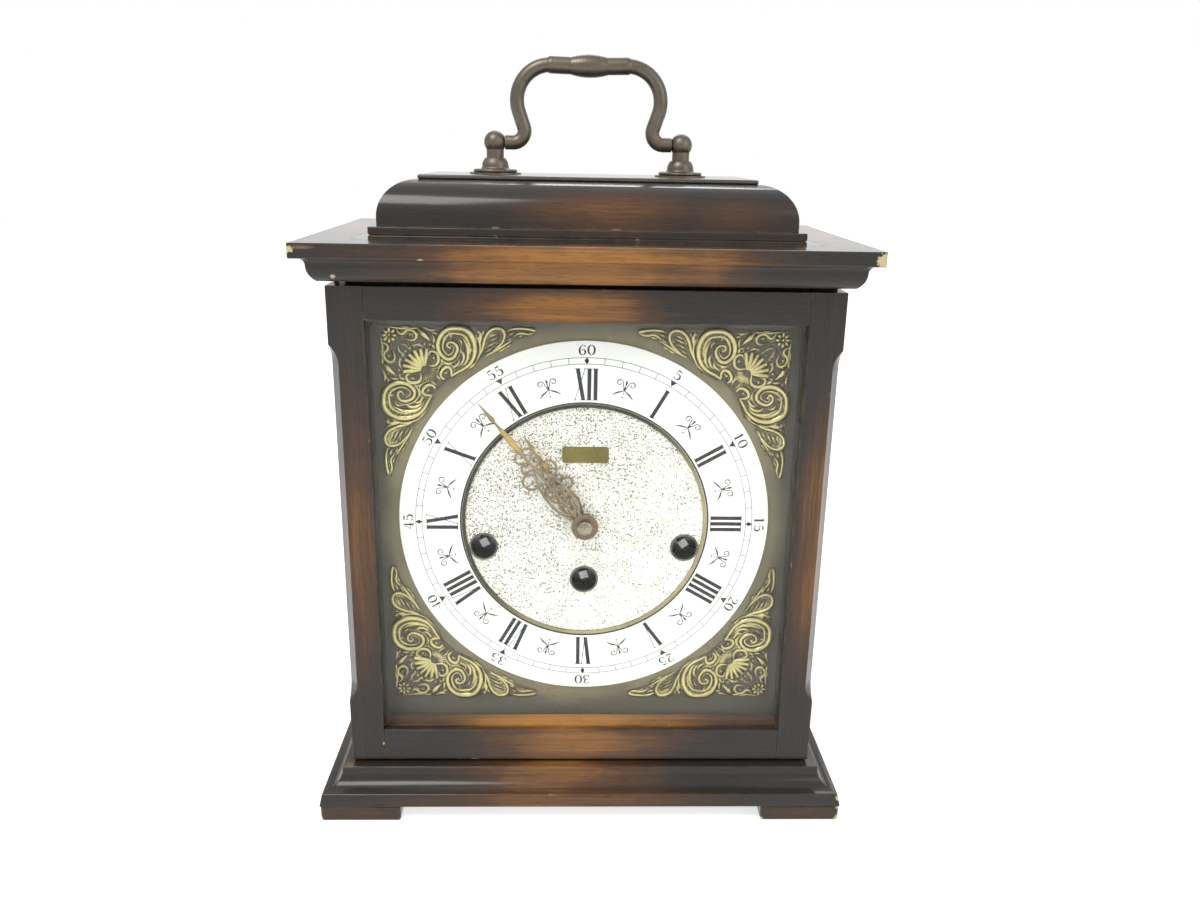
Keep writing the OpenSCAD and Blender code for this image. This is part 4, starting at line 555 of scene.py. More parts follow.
finish_with(metal("wheel brass", (204, 176, 106), (160, 132, 74), 60.0, 0.18, 0.34,
                  dark=(116, 92, 48), wear=0.4, wear_tone=(232, 206, 132)),
            "plate_pillars", "dial_posts", "cannon_pinion", "centre_wheel", "hour_wheel", "minute_wheel",
            "intermediate_wheel", "third_wheel", "time_barrel", "strike_barrel", "chime_barrel",
            "balance_wheel")
finish_with(metal("hinge brass", (168, 146, 94), (122, 103, 62), 70.0, 0.28, 0.46,
                  dark=(88, 70, 38), wear=0.5, wear_tone=(220, 192, 120)),
            "back_hinge_case_leaves", "back_hinge_door_leaves", "back_door_knob")
finish_with(rim_brass(), "dial_ring")
finish_with(metal("plaque brass", (124, 114, 60), (90, 83, 43), 70.0, 0.3, 0.44,
                  brushed=(60, 2600, 2600), dark=(70, 64, 30), metallic=0.9), "dial_plaque")
finish_with(metal("blackened bush steel", (84, 84, 82), (58, 58, 56), 90.0, 0.3, 0.46,
                  wear=0.7, wear_tone=(176, 172, 158)), "winding_bushes")
finish_with(metal("black iron", (60, 60, 60), (46, 44, 42), 70.0, 0.42, 0.6, metallic=0.7,
                  dark=(84, 62, 46), wear=0.4, wear_tone=(120, 118, 112)),
            "rod_block", "chime_hammer_1", "chime_hammer_2", "chime_hammer_3", "chime_hammer_4")
finish_with(dial_patina(), "dial_plate")
finish_with(enamel_white(), "chapter_ring")
finish_with(speckled_centre(), "dial_centre")
finish_with(clear_glass(), "door_glass")

# Wooden edges are a little rounded, by so many mm, and their varnish catches the light there
for name, width in (
        ("base_mouldings", 0.5), ("feet", 1.3), ("case_sides", 0.8), ("cornice_mouldings", 0.5),
        ("bell_mouldings", 0.4), ("bell_top_panel", 0.3), ("door_stiles", 0.45), ("door_rails", 0.35),
        ("glass_beads", 0.3), ("back_door", 0.6), ("seat_board", 0.5), ("dial_battens", 0.5)):
    weld = nodes[name].modifiers.new("joined faces", "WELD")
    weld.merge_threshold = 1e-6
    flats = nodes[name].modifiers.new("whole flats", "DECIMATE")
    flats.decimate_type = "DISSOLVE"
    flats.angle_limit = math.radians(0.3)
    round_over = nodes[name].modifiers.new("rounded edges", "BEVEL")
    round_over.width = width * MM
    round_over.segments = 3
    round_over.limit_method = "ANGLE"
    round_over.angle_limit = math.radians(38)


# Printing of the dial, in mm round the dial's middle

def set_down(name, data):
    """Makes an object of a mesh, curve, lamp or camera, in the scene."""
    made = bpy.data.objects.new(name, data)
    bpy.context.scene.collection.objects.link(made)
    return made


def mesh_of(bm, name):
    """Makes a bmesh a mesh and frees it."""
    mesh = bpy.data.meshes.new(name)
    bm.to_mesh(mesh)
    bm.free()
    return mesh


def take_up(bm, mesh):
    """Adds a mesh to a bmesh and removes it."""
    bm.from_mesh(mesh)
    bpy.data.meshes.remove(mesh)


def piece_from(bm, name, material, body):
    """Makes a bmesh an object that rides on a body."""
    made = set_down(name, mesh_of(bm, name))
    made.data.materials.append(material)
    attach(made, body)
    return made


# Half the thickness of the printing, in metres
INK = 0.00004


def dial_turn(degrees):
    """Turns a drawing that stands upright at twelve to its place round the dial, in metres from mm."""
    return (Matrix.Translation((dial_middle.x, ring_front, dial_middle.z))
            @ Matrix.Rotation(math.radians(degrees), 4, "Y") @ Matrix.Scale(MM, 4))


def ink_bar(bm, turn, start, end, width):
    """A straight inked bar between two points (x, z), in mm."""
    start, end = Vector((start[0], 0, start[1])), Vector((end[0], 0, end[1]))
    run = end - start
    tilt = math.atan2(run.x, run.z)
    shape = (turn @ Matrix.Translation((start + end) / 2) @ Matrix.Rotation(tilt, 4, "Y")
             @ Matrix.Diagonal((width, 2 * INK / MM, run.length, 1)))
    bmesh.ops.create_cube(bm, size=1, matrix=shape)


def ink_dot(bm, turn, centre, radius, sides, tilt=0.0):
    """A filled polygon or round dot of ink."""
    shape = (turn @ Matrix.Translation((centre[0], 0, centre[1]))
             @ Matrix.Rotation(math.radians(tilt), 4, "Y") @ Matrix.Rotation(math.pi / 2, 4, "X"))
    bmesh.ops.create_cone(bm, cap_ends=True, segments=sides, radius1=radius, radius2=radius,
                          depth=2 * INK / MM, matrix=shape)


def ink_circle(bm, inner, outer, steps=180):
    """A printed circle line round the dial, spun from its cross-section."""
    corners = [(inner, -INK), (outer, -INK), (outer, INK), (inner, INK)]
    points = [bm.verts.new((dial_middle.x, ring_front + y, dial_middle.z + r * MM)) for r, y in corners]
    edges = [bm.edges.new((points[i], points[(i + 1) % 4])) for i in range(4)]
    bmesh.ops.spin(bm, geom=points + edges, cent=(dial_middle.x, ring_front, dial_middle.z), axis=(0, 1, 0),
                   angle=TURN, steps=steps, use_merge=True)


FOOT, HEAD = 59.4, 73.8
THICK, THIN, SERIF = 1.75, 0.28, 0.3
WIDE = THICK + 1.0

# Roman signs in mm: width, bars (x at the head, x at the foot, thickness), serifs (x, height, width)
SIGNS = {
    "I": (2.85, [(0, 0, THICK)], [(0, FOOT, WIDE), (0, HEAD, WIDE)]),
    "V": (4.9, [(-1.4, 0.35, THICK), (2.0, 0.6, THIN)], [(-1.4, HEAD, WIDE), (2.0, HEAD, 1.3)]),
    "X": (5.3, [(-1.2, 1.4, THICK), (2.1, -2.3, THIN)],
          [(-1.2, HEAD, WIDE), (1.4, FOOT, WIDE), (2.1, HEAD, 1.4), (-2.3, FOOT, 1.5)]),
}


def ink_numeral(bm, turn, signs):
    """A Roman numeral with its feet to the centre."""
    left = -sum(SIGNS[sign][0] for sign in signs) / 2
    for sign in signs:
        width, bars, serifs = SIGNS[sign]
        middle = left + width / 2
        for head, foot, thickness in bars:
            ink_bar(bm, turn, (middle + foot, FOOT), (middle + head, HEAD), thickness)
        for x, height, length in serifs:
            x += middle
            ink_bar(bm, turn, (x - length / 2, height), (x + length / 2, height), SERIF)
        left += width


def strokes_mesh(name, strokes, transform, flatten, resolution=5, rings=1, weight=1.0):
    """Sweeps pen strokes, each a list of (x, z, radius) in mm, and returns their mesh.
    flatten is how deep they stand for each unit of width; a stroke that ends where it starts is closed."""
    curve = bpy.data.curves.new(name, "CURVE")
    curve.dimensions = "3D"
    curve.bevel_depth = 1.0
    curve.bevel_resolution = rings
    curve.resolution_u = resolution
    curve.use_fill_caps = True
    for points in strokes:
        closed = points[0][:2] == points[-1][:2]
        if closed:
            points = points[:-1]
        line = curve.splines.new("BEZIER")
        line.bezier_points.add(len(points) - 1)
        for knot, (x, z, radius) in zip(line.bezier_points, points):
            knot.co = (x, 0, z)
            knot.radius = radius * weight
            knot.handle_left_type = knot.handle_right_type = "AUTO"
        line.use_cyclic_u = closed
    holder = set_down(name, curve)
    view = bpy.context.evaluated_depsgraph_get()
    mesh = bpy.data.meshes.new_from_object(holder.evaluated_get(view))
    bpy.data.objects.remove(holder)
    bpy.data.curves.remove(curve)
    mesh.transform(transform @ Matrix.Diagonal((1, flatten, 1, 1)))
    return mesh


DIGITS = {
    "0": [[(0, 4.5, 0.12), (1.15, 3.6, 0.34), (1.4, 2.3, 0.4), (1.15, 1.0, 0.34), (0, 0.1, 0.12),
           (-1.15, 1.0, 0.34), (-1.4, 2.3, 0.4), (-1.15, 3.6, 0.34), (0, 4.5, 0.12)]],
    "1": [[(0.1, 4.5, 0.36), (0.1, 0.1, 0.36)], [(-1.0, 3.8, 0.08), (-0.4, 4.1, 0.14), (0.1, 4.4, 0.2)],
          [(-0.9, 0.1, 0.1), (1.1, 0.1, 0.1)]],
    "2": [[(-1.1, 3.4, 0.36), (-1.0, 4.0, 0.16), (0, 4.5, 0.14), (1.1, 3.9, 0.34), (1.0, 2.9, 0.34),
           (0, 1.6, 0.16), (-1.3, 0.3, 0.12)], [(-1.3, 0.3, 0.16), (0.3, 0.3, 0.32), (1.3, 0.4, 0.16),
           (1.5, 1.2, 0.1)]],
    "3": [[(-1.1, 3.7, 0.32), (-0.8, 4.3, 0.14), (0, 4.5, 0.14), (1.0, 3.9, 0.3), (0.8, 2.9, 0.28),
           (-0.2, 2.4, 0.1)], [(-0.2, 2.4, 0.1), (1.0, 2.0, 0.28), (1.3, 1.1, 0.38), (0.5, 0.2, 0.16),
           (-0.7, 0.2, 0.14), (-1.2, 0.9, 0.34)]],
    "4": [[(0.6, 4.5, 0.2), (0.6, 0.1, 0.36)], [(0.6, 4.4, 0.1), (-1.6, 1.4, 0.1)], [(-1.6, 1.4, 0.1),
           (1.5, 1.4, 0.12)], [(0.0, 0.1, 0.1), (1.3, 0.1, 0.1)]],
    "5": [[(1.1, 4.4, 0.14), (0.2, 4.2, 0.3), (-0.9, 4.4, 0.2)], [(-0.9, 4.4, 0.1), (-1.0, 2.4, 0.1)],
          [(-1.0, 2.4, 0.1), (0.1, 2.8, 0.14), (1.2, 2.0, 0.34), (1.1, 0.8, 0.36), (0, 0.1, 0.14),
           (-0.9, 0.3, 0.14), (-1.2, 0.9, 0.34)]],
    "6": [[(1.2, 3.7, 0.3), (0.8, 4.4, 0.12), (-0.3, 4.3, 0.14), (-1.2, 3.0, 0.34), (-1.3, 1.6, 0.4),
           (-0.8, 0.4, 0.26), (0.1, 0.1, 0.12), (1.1, 0.7, 0.32), (1.1, 1.8, 0.34), (0.2, 2.5, 0.1),
           (-0.9, 1.9, 0.12)]],
}
DIGIT_FOOT, DIGIT_PITCH = 80.1, 4.0
ORNAMENT_FOOT = 66.6
ORNAMENT_SIDE = [
    [(0, 0.3, 0.12), (0.9, 1.4, 0.2), (1.3, 2.8, 0.16), (2.2, 3.9, 0.16), (3.6, 3.8, 0.22), (4.1, 2.8, 0.2),
     (3.5, 1.8, 0.14), (2.5, 1.9, 0.16), (2.3, 2.8, 0.2)],
    [(0, -0.2, 0.1), (1.3, -1.2, 0.26), (2.8, -2.0, 0.34), (4.9, -3.7, 0.14)],
]
ORNAMENT = [
    [(0, 4.4, 0.1), (0.05, 3.4, 0.42), (0, 2.0, 0.2), (0, 0.2, 0.16), (0, -1.4, 0.14), (0.1, -2.6, 0.1)],
    [(-0.9, 0.35, 0.14), (0, 0.1, 0.3), (0.9, 0.35, 0.14)],
] + [[(side * x, z, radius) for x, z, radius in points] for points in ORNAMENT_SIDE for side in (-1, 1)]
NUMERALS = ("I", "II", "III", "IIII", "V", "VI", "VII", "VIII", "IX", "X", "XI", "XII")
TRACK_IN, TRACK_OUT, TRACK_LINE = 76.0, 78.9, 0.12
INNER_CIRCLE = (57.6, 58.4)
QUARTER_DOT, QUARTER_BAR, FIVE_MARK, MINUTE_BAR = 0.95, 0.7, 1.7, 0.24
INK_FLAT, ORNAMENT_PEN, DIGIT_PEN = 0.12, 1.35, 1.3

ink = print_black()
printing = bmesh.new()
for radius in (TRACK_IN, TRACK_OUT):
    ink_circle(printing, radius - TRACK_LINE, radius + TRACK_LINE)
ink_circle(printing, *INNER_CIRCLE)
for minute in range(60):
    turn = dial_turn(minute * 6)
    if minute % 15 == 0:
        ink_dot(printing, turn, (0, (TRACK_IN + TRACK_OUT) / 2), QUARTER_DOT, 20)
        ink_bar(printing, turn, (0, TRACK_IN), (0, TRACK_OUT), QUARTER_BAR)
    elif minute % 5 == 0:
        ink_dot(printing, turn, (0, TRACK_OUT - 0.95), FIVE_MARK, 3, 180)
    else:
        ink_bar(printing, turn, (0, TRACK_IN), (0, TRACK_OUT), MINUTE_BAR)
for hour, signs in enumerate(NUMERALS, 1):
    ink_numeral(printing, dial_turn(hour * 30), signs)
    ink_dot(printing, dial_turn(hour * 30 - 15), (0, ORNAMENT_FOOT - 3.7), 0.42, 16)
    at = dial_turn(hour * 30 - 15) @ Matrix.Translation((0, 0, ORNAMENT_FOOT))
    take_up(printing, strokes_mesh("half hour", ORNAMENT, at, INK_FLAT, weight=ORNAMENT_PEN))
    number = str(hour * 5)
    for place, digit in enumerate(number):
        x = (place - (len(number) - 1) / 2) * DIGIT_PITCH
        at = dial_turn(hour * 30) @ Matrix.Translation((x, 0, DIGIT_FOOT))
        take_up(printing, strokes_mesh("digit", DIGITS[digit], at, INK_FLAT, weight=DIGIT_PEN))
piece_from(printing, "dial_printing", ink, "case")


# Hands

# A pierced hand in strokes of (sideways, along the hand, radius) in mm: its middle, and one of its sides
HAND_MIDDLE = [
    [(0, 5.0, 0.75), (0, 14.0, 0.5), (0, 30.0, 0.55), (0, 46.0, 0.8)], [(0, 44.5, 0.9), (0, 49.0, 1.3),
     (0, 52.2, 1.75), (0, 55.4, 1.35), (0, 58.8, 1.15), (0, 62.5, 0.6), (0, 66.0, 0.5)], [(0, 64.6, 0.5),
     (0, 66.2, 1.25), (0, 68.4, 0.95), (0, 72.0, 0.5), (0, 75.9, 0.18)], [(-4.2, 29.2, 0.5), (0, 28.2, 0.6),
     (4.2, 29.2, 0.5)],
]
HAND_SIDES = [
    [(1.3, 5.4, 0.6), (3.6, 9.6, 0.6), (5.0, 15.0, 0.62), (5.3, 20.0, 0.62), (4.7, 25.4, 0.6),
     (3.3, 30.6, 0.6), (1.0, 35.6, 0.5), (0.3, 38.0, 0.4)], [(0.4, 8.0, 0.4), (2.0, 9.6, 0.5),
     (3.1, 12.6, 0.5), (2.5, 15.3, 0.45), (1.2, 14.9, 0.4), (1.4, 13.2, 0.45)], [(0.4, 15.6, 0.4),
     (2.4, 17.4, 0.5), (3.6, 20.6, 0.5), (2.9, 23.4, 0.45), (1.4, 22.9, 0.4), (1.7, 21.0, 0.45)],
    [(0.4, 22.8, 0.4), (1.9, 24.8, 0.45), (2.8, 27.2, 0.4), (1.6, 28.4, 0.35)], [(4.9, 12.9, 0.4),
     (6.4, 12.2, 0.45), (6.8, 13.8, 0.35)], [(2.6, 29.8, 0.5), (4.4, 28.9, 0.6), (7.2, 29.6, 0.62),
     (8.7, 32.2, 0.62), (8.0, 35.2, 0.62), (5.4, 36.5, 0.6), (2.8, 35.4, 0.55), (1.9, 33.0, 0.5),
     (3.4, 31.5, 0.45), (5.0, 32.1, 0.5)], [(8.3, 33.3, 0.5), (9.6, 33.2, 0.35), (11.0, 33.3, 0.15)],
    [(7.8, 35.0, 0.5), (9.0, 36.0, 0.35), (10.2, 36.7, 0.15)], [(5.2, 36.4, 0.5), (5.5, 38.0, 0.35),
     (5.6, 39.5, 0.15)], [(7.9, 30.4, 0.5), (9.2, 29.6, 0.35), (10.2, 29.0, 0.15)], [(0.6, 36.4, 0.45),
     (2.2, 37.2, 0.5), (4.4, 37.6, 0.5), (5.0, 39.4, 0.5), (3.6, 40.8, 0.5), (2.0, 40.2, 0.45),
     (1.9, 38.8, 0.4)], [(0.4, 40.8, 0.45), (2.4, 41.9, 0.5), (4.3, 43.6, 0.52), (3.6, 46.2, 0.5),
     (1.4, 46.8, 0.45), (0.7, 45.0, 0.4), (1.8, 44.0, 0.4)], [(3.9, 45.4, 0.4), (5.2, 46.4, 0.3),
     (6.0, 47.6, 0.15)], [(0.6, 47.4, 0.45), (2.2, 48.6, 0.4), (2.6, 50.4, 0.15)],
]
BOSS_R, BOSS_EDGE, HAND_FLAT = 6.3, 0.25, 0.55


def pierced_hand(name, node, finish, body, sideways, along):
    """Sweeps a hand's scrolls in the place of its CAD node, scaled sideways and along."""
    low, high = [Vector(corner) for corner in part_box(node)]
    tip = max((vertex.co - dial_middle for vertex in nodes[node].data.vertices),
              key=lambda far: far.x ** 2 + far.z ** 2)
    place = (Matrix.Translation((dial_middle.x, (low.y + high.y) / 2, dial_middle.z))
             @ Matrix.Rotation(math.atan2(tip.x, tip.z), 4, "Y") @ Matrix.Scale(MM, 4))
    strokes = [[(x * sideways, z * along, r) for x, z, r in points] for points in HAND_MIDDLE]
    for side in (-1, 1):
        strokes += [[(side * x * sideways, z * along, r) for x, z, r in points] for points in HAND_SIDES]
    bm = bmesh.new()
    take_up(bm, strokes_mesh("scrolls", strokes, place, HAND_FLAT, 5, 2, weight=0.55 + 0.45 * sideways))
    boss = bmesh.new()
    radius = BOSS_R * sideways
    bmesh.ops.create_cone(boss, cap_ends=True, segments=64, radius1=radius, radius2=radius,
                          depth=(high.y - low.y) / MM, matrix=Matrix.Rotation(math.pi / 2, 4, "X"))
    rims = [edge for edge in boss.edges if edge.calc_face_angle() > 1]
    bmesh.ops.bevel(boss, geom=rims, offset=BOSS_EDGE, offset_type="OFFSET", segments=3, profile=0.5,
                    affect="EDGES", material=-1)
    bmesh.ops.transform(boss, matrix=place, verts=boss.verts)
    take_up(bm, mesh_of(boss, "boss"))
    bmesh.ops.recalc_face_normals(bm, faces=bm.faces)
    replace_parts(piece_from(bm, name, finish, body), node)


pierced_hand("scrolled_minute_hand", "minute_hand", hand_bronze("minute hand bronze", 50, 59), "minute_work",
             1.0, 1.0)
pierced_hand("scrolled_hour_hand", "hour_hand", hand_bronze("hour hand bronze", 34, 43), "hour_work",
             0.8, 0.676)


# Corner castings

# In mm: length of an arm, distance of the dial's middle from the outer corner along each side, and radius of
# the hollow round the chapter ring
ARM, CORNER, ARC = 70.0, 92.5, 91.9
GROUND_T, GROUND_EDGE = 0.5, 0.5
RELIEF_FLAT, RELIEF_PEN = 0.95, 1.36

# One arm of the pattern: strokes of (along the arm, down from the edge, radius) in mm from the outer corner.
# The other arm is its mirror image over the corner's diagonal.
SCROLLS = [
    [(31.9, 10.2, 0.5), (30.2, 8.9, 0.55), (31.9, 7.4, 0.6), (34.5, 9.2, 0.7), (34.0, 12.8, 0.8),
     (31.4, 15.1, 0.9), (28.1, 13.8, 0.9), (26.2, 10.2, 1.0), (26.9, 5.6, 1.1), (30.0, 1.9, 1.1),
     (34.8, 1.0, 1.2), (39.0, 1.9, 1.3), (41.7, 5.6, 1.2), (42.6, 10.2, 1.1), (41.4, 15.3, 0.9),
     (38.6, 18.7, 0.7), (34.3, 21.2, 0.6), (31.9, 22.8, 0.5)], [(31.9, 22.8, 0.5), (31.4, 19.4, 0.7),
     (30.0, 18.7, 0.8), (27.6, 20.4, 0.8), (27.1, 23.0, 0.7), (28.6, 24.5, 0.5)], [(7.6, 0.9, 0.35),
     (10.0, 4.1, 0.65), (13.3, 2.0, 0.7), (16.7, 4.1, 0.7), (15.7, 6.6, 0.55), (11.4, 6.1, 0.3)],
    [(20.5, 17.9, 0.35), (24.8, 17.9, 0.7), (26.2, 14.8, 0.8), (25.2, 12.2, 0.75), (22.9, 11.7, 0.6),
     (21.9, 13.8, 0.4)], [(43.3, 15.3, 0.35), (45.7, 10.7, 0.6), (47.1, 5.6, 0.7), (49.5, 2.0, 0.75),
     (52.4, 0.9, 0.8), (55.2, 2.0, 0.75), (55.5, 5.6, 0.6), (51.4, 10.7, 0.5), (46.7, 14.3, 0.35)],
    [(56.7, 2.2, 0.35), (60.0, 1.1, 0.6), (65.7, 1.1, 0.6), (68.1, 1.5, 0.75), (69.6, 2.0, 0.4)],
    [(59.5, 5.1, 0.35), (62.4, 3.1, 0.6), (66.7, 3.4, 0.55), (69.4, 2.4, 0.3)], [(46.2, 13.4, 0.3),
     (50.0, 12.0, 0.5), (54.0, 9.6, 0.55), (57.6, 7.2, 0.5), (60.6, 5.4, 0.3)], [(1.0, 5.6, 0.4),
     (1.6, 11.5, 0.55), (1.3, 17.3, 0.45)],
]
LEAVES = [
    [(37.1, 5.1, 0.3), (39.0, 8.7, 0.75), (39.5, 12.8, 0.8), (38.6, 16.3, 0.6), (36.6, 18.6, 0.25)],
    [(35.9, 11.0, 0.25), (37.4, 13.0, 0.65), (37.0, 16.2, 0.65), (34.6, 18.8, 0.25)], [(34.9, 14.6, 0.25),
     (35.3, 16.4, 0.55), (33.4, 18.4, 0.55), (31.8, 19.0, 0.2)], [(28.6, 3.6, 0.25), (28.9, 6.3, 0.55),
     (28.6, 8.6, 0.25)], [(31.6, 3.1, 0.25), (32.1, 4.5, 0.5), (31.7, 5.9, 0.25)], [(44.2, 1.3, 0.3),
     (45.2, 4.3, 0.85), (44.6, 8.6, 0.3)], [(17.1, 1.0, 0.3), (19.6, 3.6, 1.3), (22.9, 7.0, 0.3)],
    [(19.9, 0.9, 0.3), (23.8, 2.2, 0.6), (25.6, 1.4, 0.3)], [(22.4, 8.2, 0.25), (24.2, 9.4, 0.6),
     (24.6, 11.2, 0.3)], [(46.4, 12.2, 0.25), (49.0, 10.7, 0.45), (51.0, 9.2, 0.25)], [(47.0, 9.9, 0.25),
     (49.8, 8.3, 0.5), (52.8, 6.6, 0.25)], [(47.6, 7.6, 0.25), (50.4, 6.1, 0.5), (53.6, 4.4, 0.25)],
    [(48.6, 5.2, 0.25), (51.0, 4.0, 0.5), (53.8, 2.8, 0.25)], [(52.6, 11.6, 0.25), (54.3, 10.9, 0.5),
     (56.4, 9.3, 0.25)], [(56.0, 9.9, 0.25), (57.4, 9.0, 0.45), (59.2, 7.4, 0.25)], [(57.2, 3.9, 0.25),
     (58.6, 3.4, 0.5), (60.6, 2.9, 0.25)], [(9.3, 1.1, 0.3), (12.6, 0.9, 0.45), (15.4, 1.5, 0.25)],
    [(24.2, 22.2, 0.25), (26.0, 23.6, 0.55), (27.6, 26.2, 0.25)], [(38.3, 20.6, 0.25), (41.4, 17.9, 0.5),
     (43.6, 15.9, 0.25)], [(14.6, 9.0, 0.3), (17.6, 8.8, 0.6), (20.4, 10.2, 0.3)], [(8.8, 8.4, 0.3),
     (11.8, 9.0, 0.5), (13.4, 11.6, 0.3)], [(33.0, 16.9, 0.25), (30.6, 17.6, 0.5), (28.2, 17.0, 0.25)],
    [(23.8, 3.4, 0.25), (24.5, 6.4, 0.6), (24.2, 8.6, 0.3)], [(34.2, 5.8, 0.25), (36.6, 7.2, 0.5),
     (36.6, 9.8, 0.25)], [(46.6, 1.2, 0.25), (46.3, 3.0, 0.5), (45.9, 4.9, 0.25)], [(56.3, 6.4, 0.25),
     (58.1, 5.9, 0.5), (59.3, 4.5, 0.25)], [(61.0, 4.7, 0.25), (62.8, 4.4, 0.45), (64.8, 3.7, 0.25)],
    [(22.4, 1.4, 0.25), (25.2, 3.6, 0.5), (26.2, 3.4, 0.25)], [(42.9, 3.2, 0.25), (43.4, 6.2, 0.45),
     (43.9, 9.4, 0.25)],
]
BEADS = [(29.4, 21.3, 0.75), (31.9, 9.1, 0.5), (44.3, 2.6, 0.9), (63.9, 2.2, 0.4), (24.0, 14.6, 0.7),
         (22.3, 9.9, 0.5), (40.6, 20.1, 0.45), (26.2, 25.2, 0.5), (3.9, 10.2, 0.75), (4.2, 13.9, 0.7),
         (3.9, 17.4, 0.6), (4.1, 20.6, 0.55)]
SHELL_HINGE, SHELL_RIB = 20.0, 9.6


def both_arms(points):
    """A stroke or bead on each arm, in the drawing's x and z."""
    return ([(along, -down, radius) for along, down, radius in points],
            [(down, -along, radius) for along, down, radius in points])


def fan(hinge, inner, outer, first, last, count, thin, thick):
    """Ribs that spread from a hinge on the diagonal; their angles count from the way to the outer corner."""
    ribs = []
    for index in range(count):
        angle = math.radians(first + (last - first) * index / (count - 1) + 135)
        ahead = Vector((math.cos(angle), math.sin(angle)))
        ribs.append([(hinge + ahead.x * reach, -hinge + ahead.y * reach, radius)
                     for reach, radius in ((inner, thin), ((inner + outer) / 2, thick),
                                           (outer, thick * 0.8))])
    return ribs


def spandrel_ground():
    """The sheet under the relief, which the finish darkens as painted shade between the scrolls: a corner
    with two long arms, hollowed to the ring's circle.
    """
    bm = bmesh.new()
    edge = GROUND_EDGE
    sweep = math.acos((CORNER - ARM) / ARC)
    points = [(ARM, -edge), (edge, -edge), (edge, -ARM)]
    for step in range(25):
        angle = math.pi - (math.pi / 2 - sweep) - (2 * sweep - math.pi / 2) * step / 24
        points.append((CORNER + ARC * math.cos(angle), -CORNER + ARC * math.sin(angle)))
    face = bm.faces.new([bm.verts.new((x, 0, z)) for x, z in points])
    raised = bmesh.ops.extrude_face_region(bm, geom=[face])["geom"]
    corners = [item for item in raised if isinstance(item, bmesh.types.BMVert)]
    bmesh.ops.translate(bm, vec=(0, -GROUND_T, 0), verts=corners)
    bmesh.ops.recalc_face_normals(bm, faces=bm.faces)
    return bm


def spandrel_finish():
    """Cast brass, dark in its hollows from wax and from painted shade: olive flanks, and painted highlights
    on the crests that face the front.
    """
    made, tree, shader = new_finish("cast scroll brass", Specular_IOR_Level=0.5)
    coordinates = put(tree, "TexCoord")
    place = coordinates.outputs["Object"]
    cloud, specks = film_on(tree, place, 110.0)
    height = put(tree, "SeparateXYZ", {0: place}).outputs["Y"]
    uneven = plus(tree, height, times(tree, cloud, 0.00025))
    # Low places get darker: dark wax in the hollows, and painted shade there too
    proud = span(tree, uneven, castings_back - 0.0006, castings_back - 0.00096)
    facing = put(tree, "SeparateXYZ", {0: coordinates.outputs["Normal"]}).outputs["Y"]
    # Painted highlight on faces that point to the front
    front_highlight = times(tree, span(tree, facing, -0.55, -0.97), 0.6)
    broken = times(tree, noise(tree, place, 620, 3, 0.6), 0.8)
    level = times(tree, proud, plus(tree, front_highlight, broken), clamp=True)
    # Tones run from painted shade through olive to a pale gold painted highlight
    cast = tones_by(tree, level, (0.0, (58, 52, 48)), (0.4, (122, 117, 82)), (1.0, (208, 198, 140)))
    pitted = span(tree, noise(tree, place, 1100, 2, 0.6), 0.45, 0.62)
    shade = blend(tree, proud, stain(tree, cast, pitted, 0.7, (116, 111, 84)), cast)
    shade = stain(tree, shade, cloud, 0.3, (104, 98, 64))
    tree.links.new(plus(tree, times(tree, proud, 0.65), 0.2), shader.inputs["Metallic"])
    lay_on(tree, shader, place, shade, specks, 0.15, 0.06, (0.26, 0.42))
    return made


def ridge_beside(points, gap, share):
    """A thinner stroke that runs along the left of another, as the second ridge of a scroll."""
    beside = []
    for index, (along, down, radius) in enumerate(points):
        before, after = points[max(index - 1, 0)], points[min(index + 1, len(points) - 1)]
        ahead = Vector((after[0] - before[0], after[1] - before[1])).normalized()
        reach = gap * radius
        beside.append((along - ahead.y * reach, down + ahead.x * reach, radius * share))
    return beside


def ribs_beside(points, each, reach, radius):
    """Short leaf ribs that lean forwards along the inside of a scroll, as on an acanthus leaf."""
    ribs = []
    for before, after in zip(points, points[1:]):
        start, step = Vector(before[:2]), Vector(after[:2]) - Vector(before[:2])
        ahead = step.normalized()
        inside = Vector((-ahead.y, ahead.x))
        for index in range(each):
            foot = start + step * (index + 0.5) / each
            middle = foot + (inside * 0.5 + ahead * 0.15) * reach
            tip = foot + (inside * 0.8 + ahead * 0.6) * reach
            ribs.append([(foot.x, foot.y, radius * 0.7), (middle.x, middle.y, radius),
                         (tip.x, tip.y, radius * 0.5)])
    return ribs


def spandrel_drawing():
    shapes = SCROLLS + LEAVES + [ridge_beside(points, 2.1, 0.5) for points in SCROLLS[:6]]
    outer = (SCROLLS[0][:8], SCROLLS[0][12:], SCROLLS[1], SCROLLS[3])
    shapes += [ridge_beside(points, -2.1, 0.45) for points in outer]
    shapes += ribs_beside(SCROLLS[0][8:16], 3, 3.0, 0.42) + ribs_beside(SCROLLS[4][1:8], 3, 2.4, 0.38)
    strokes = [arm for points in shapes for arm in both_arms(points)]
    strokes += fan(SHELL_HINGE, 1.6, SHELL_RIB, -52, 52, 7, 0.45, 1.05)
    strokes += fan(SHELL_HINGE, 1.8, 5.6, 128, 232, 9, 0.3, 0.45)
    strokes += fan(4.6, 0.9, 3.3, 0, 315, 8, 0.35, 0.8)
    strokes += fan(SHELL_HINGE, SHELL_RIB + 1.4, SHELL_RIB + 2.5, -58, 58, 11, 0.4, 0.55)
    return strokes


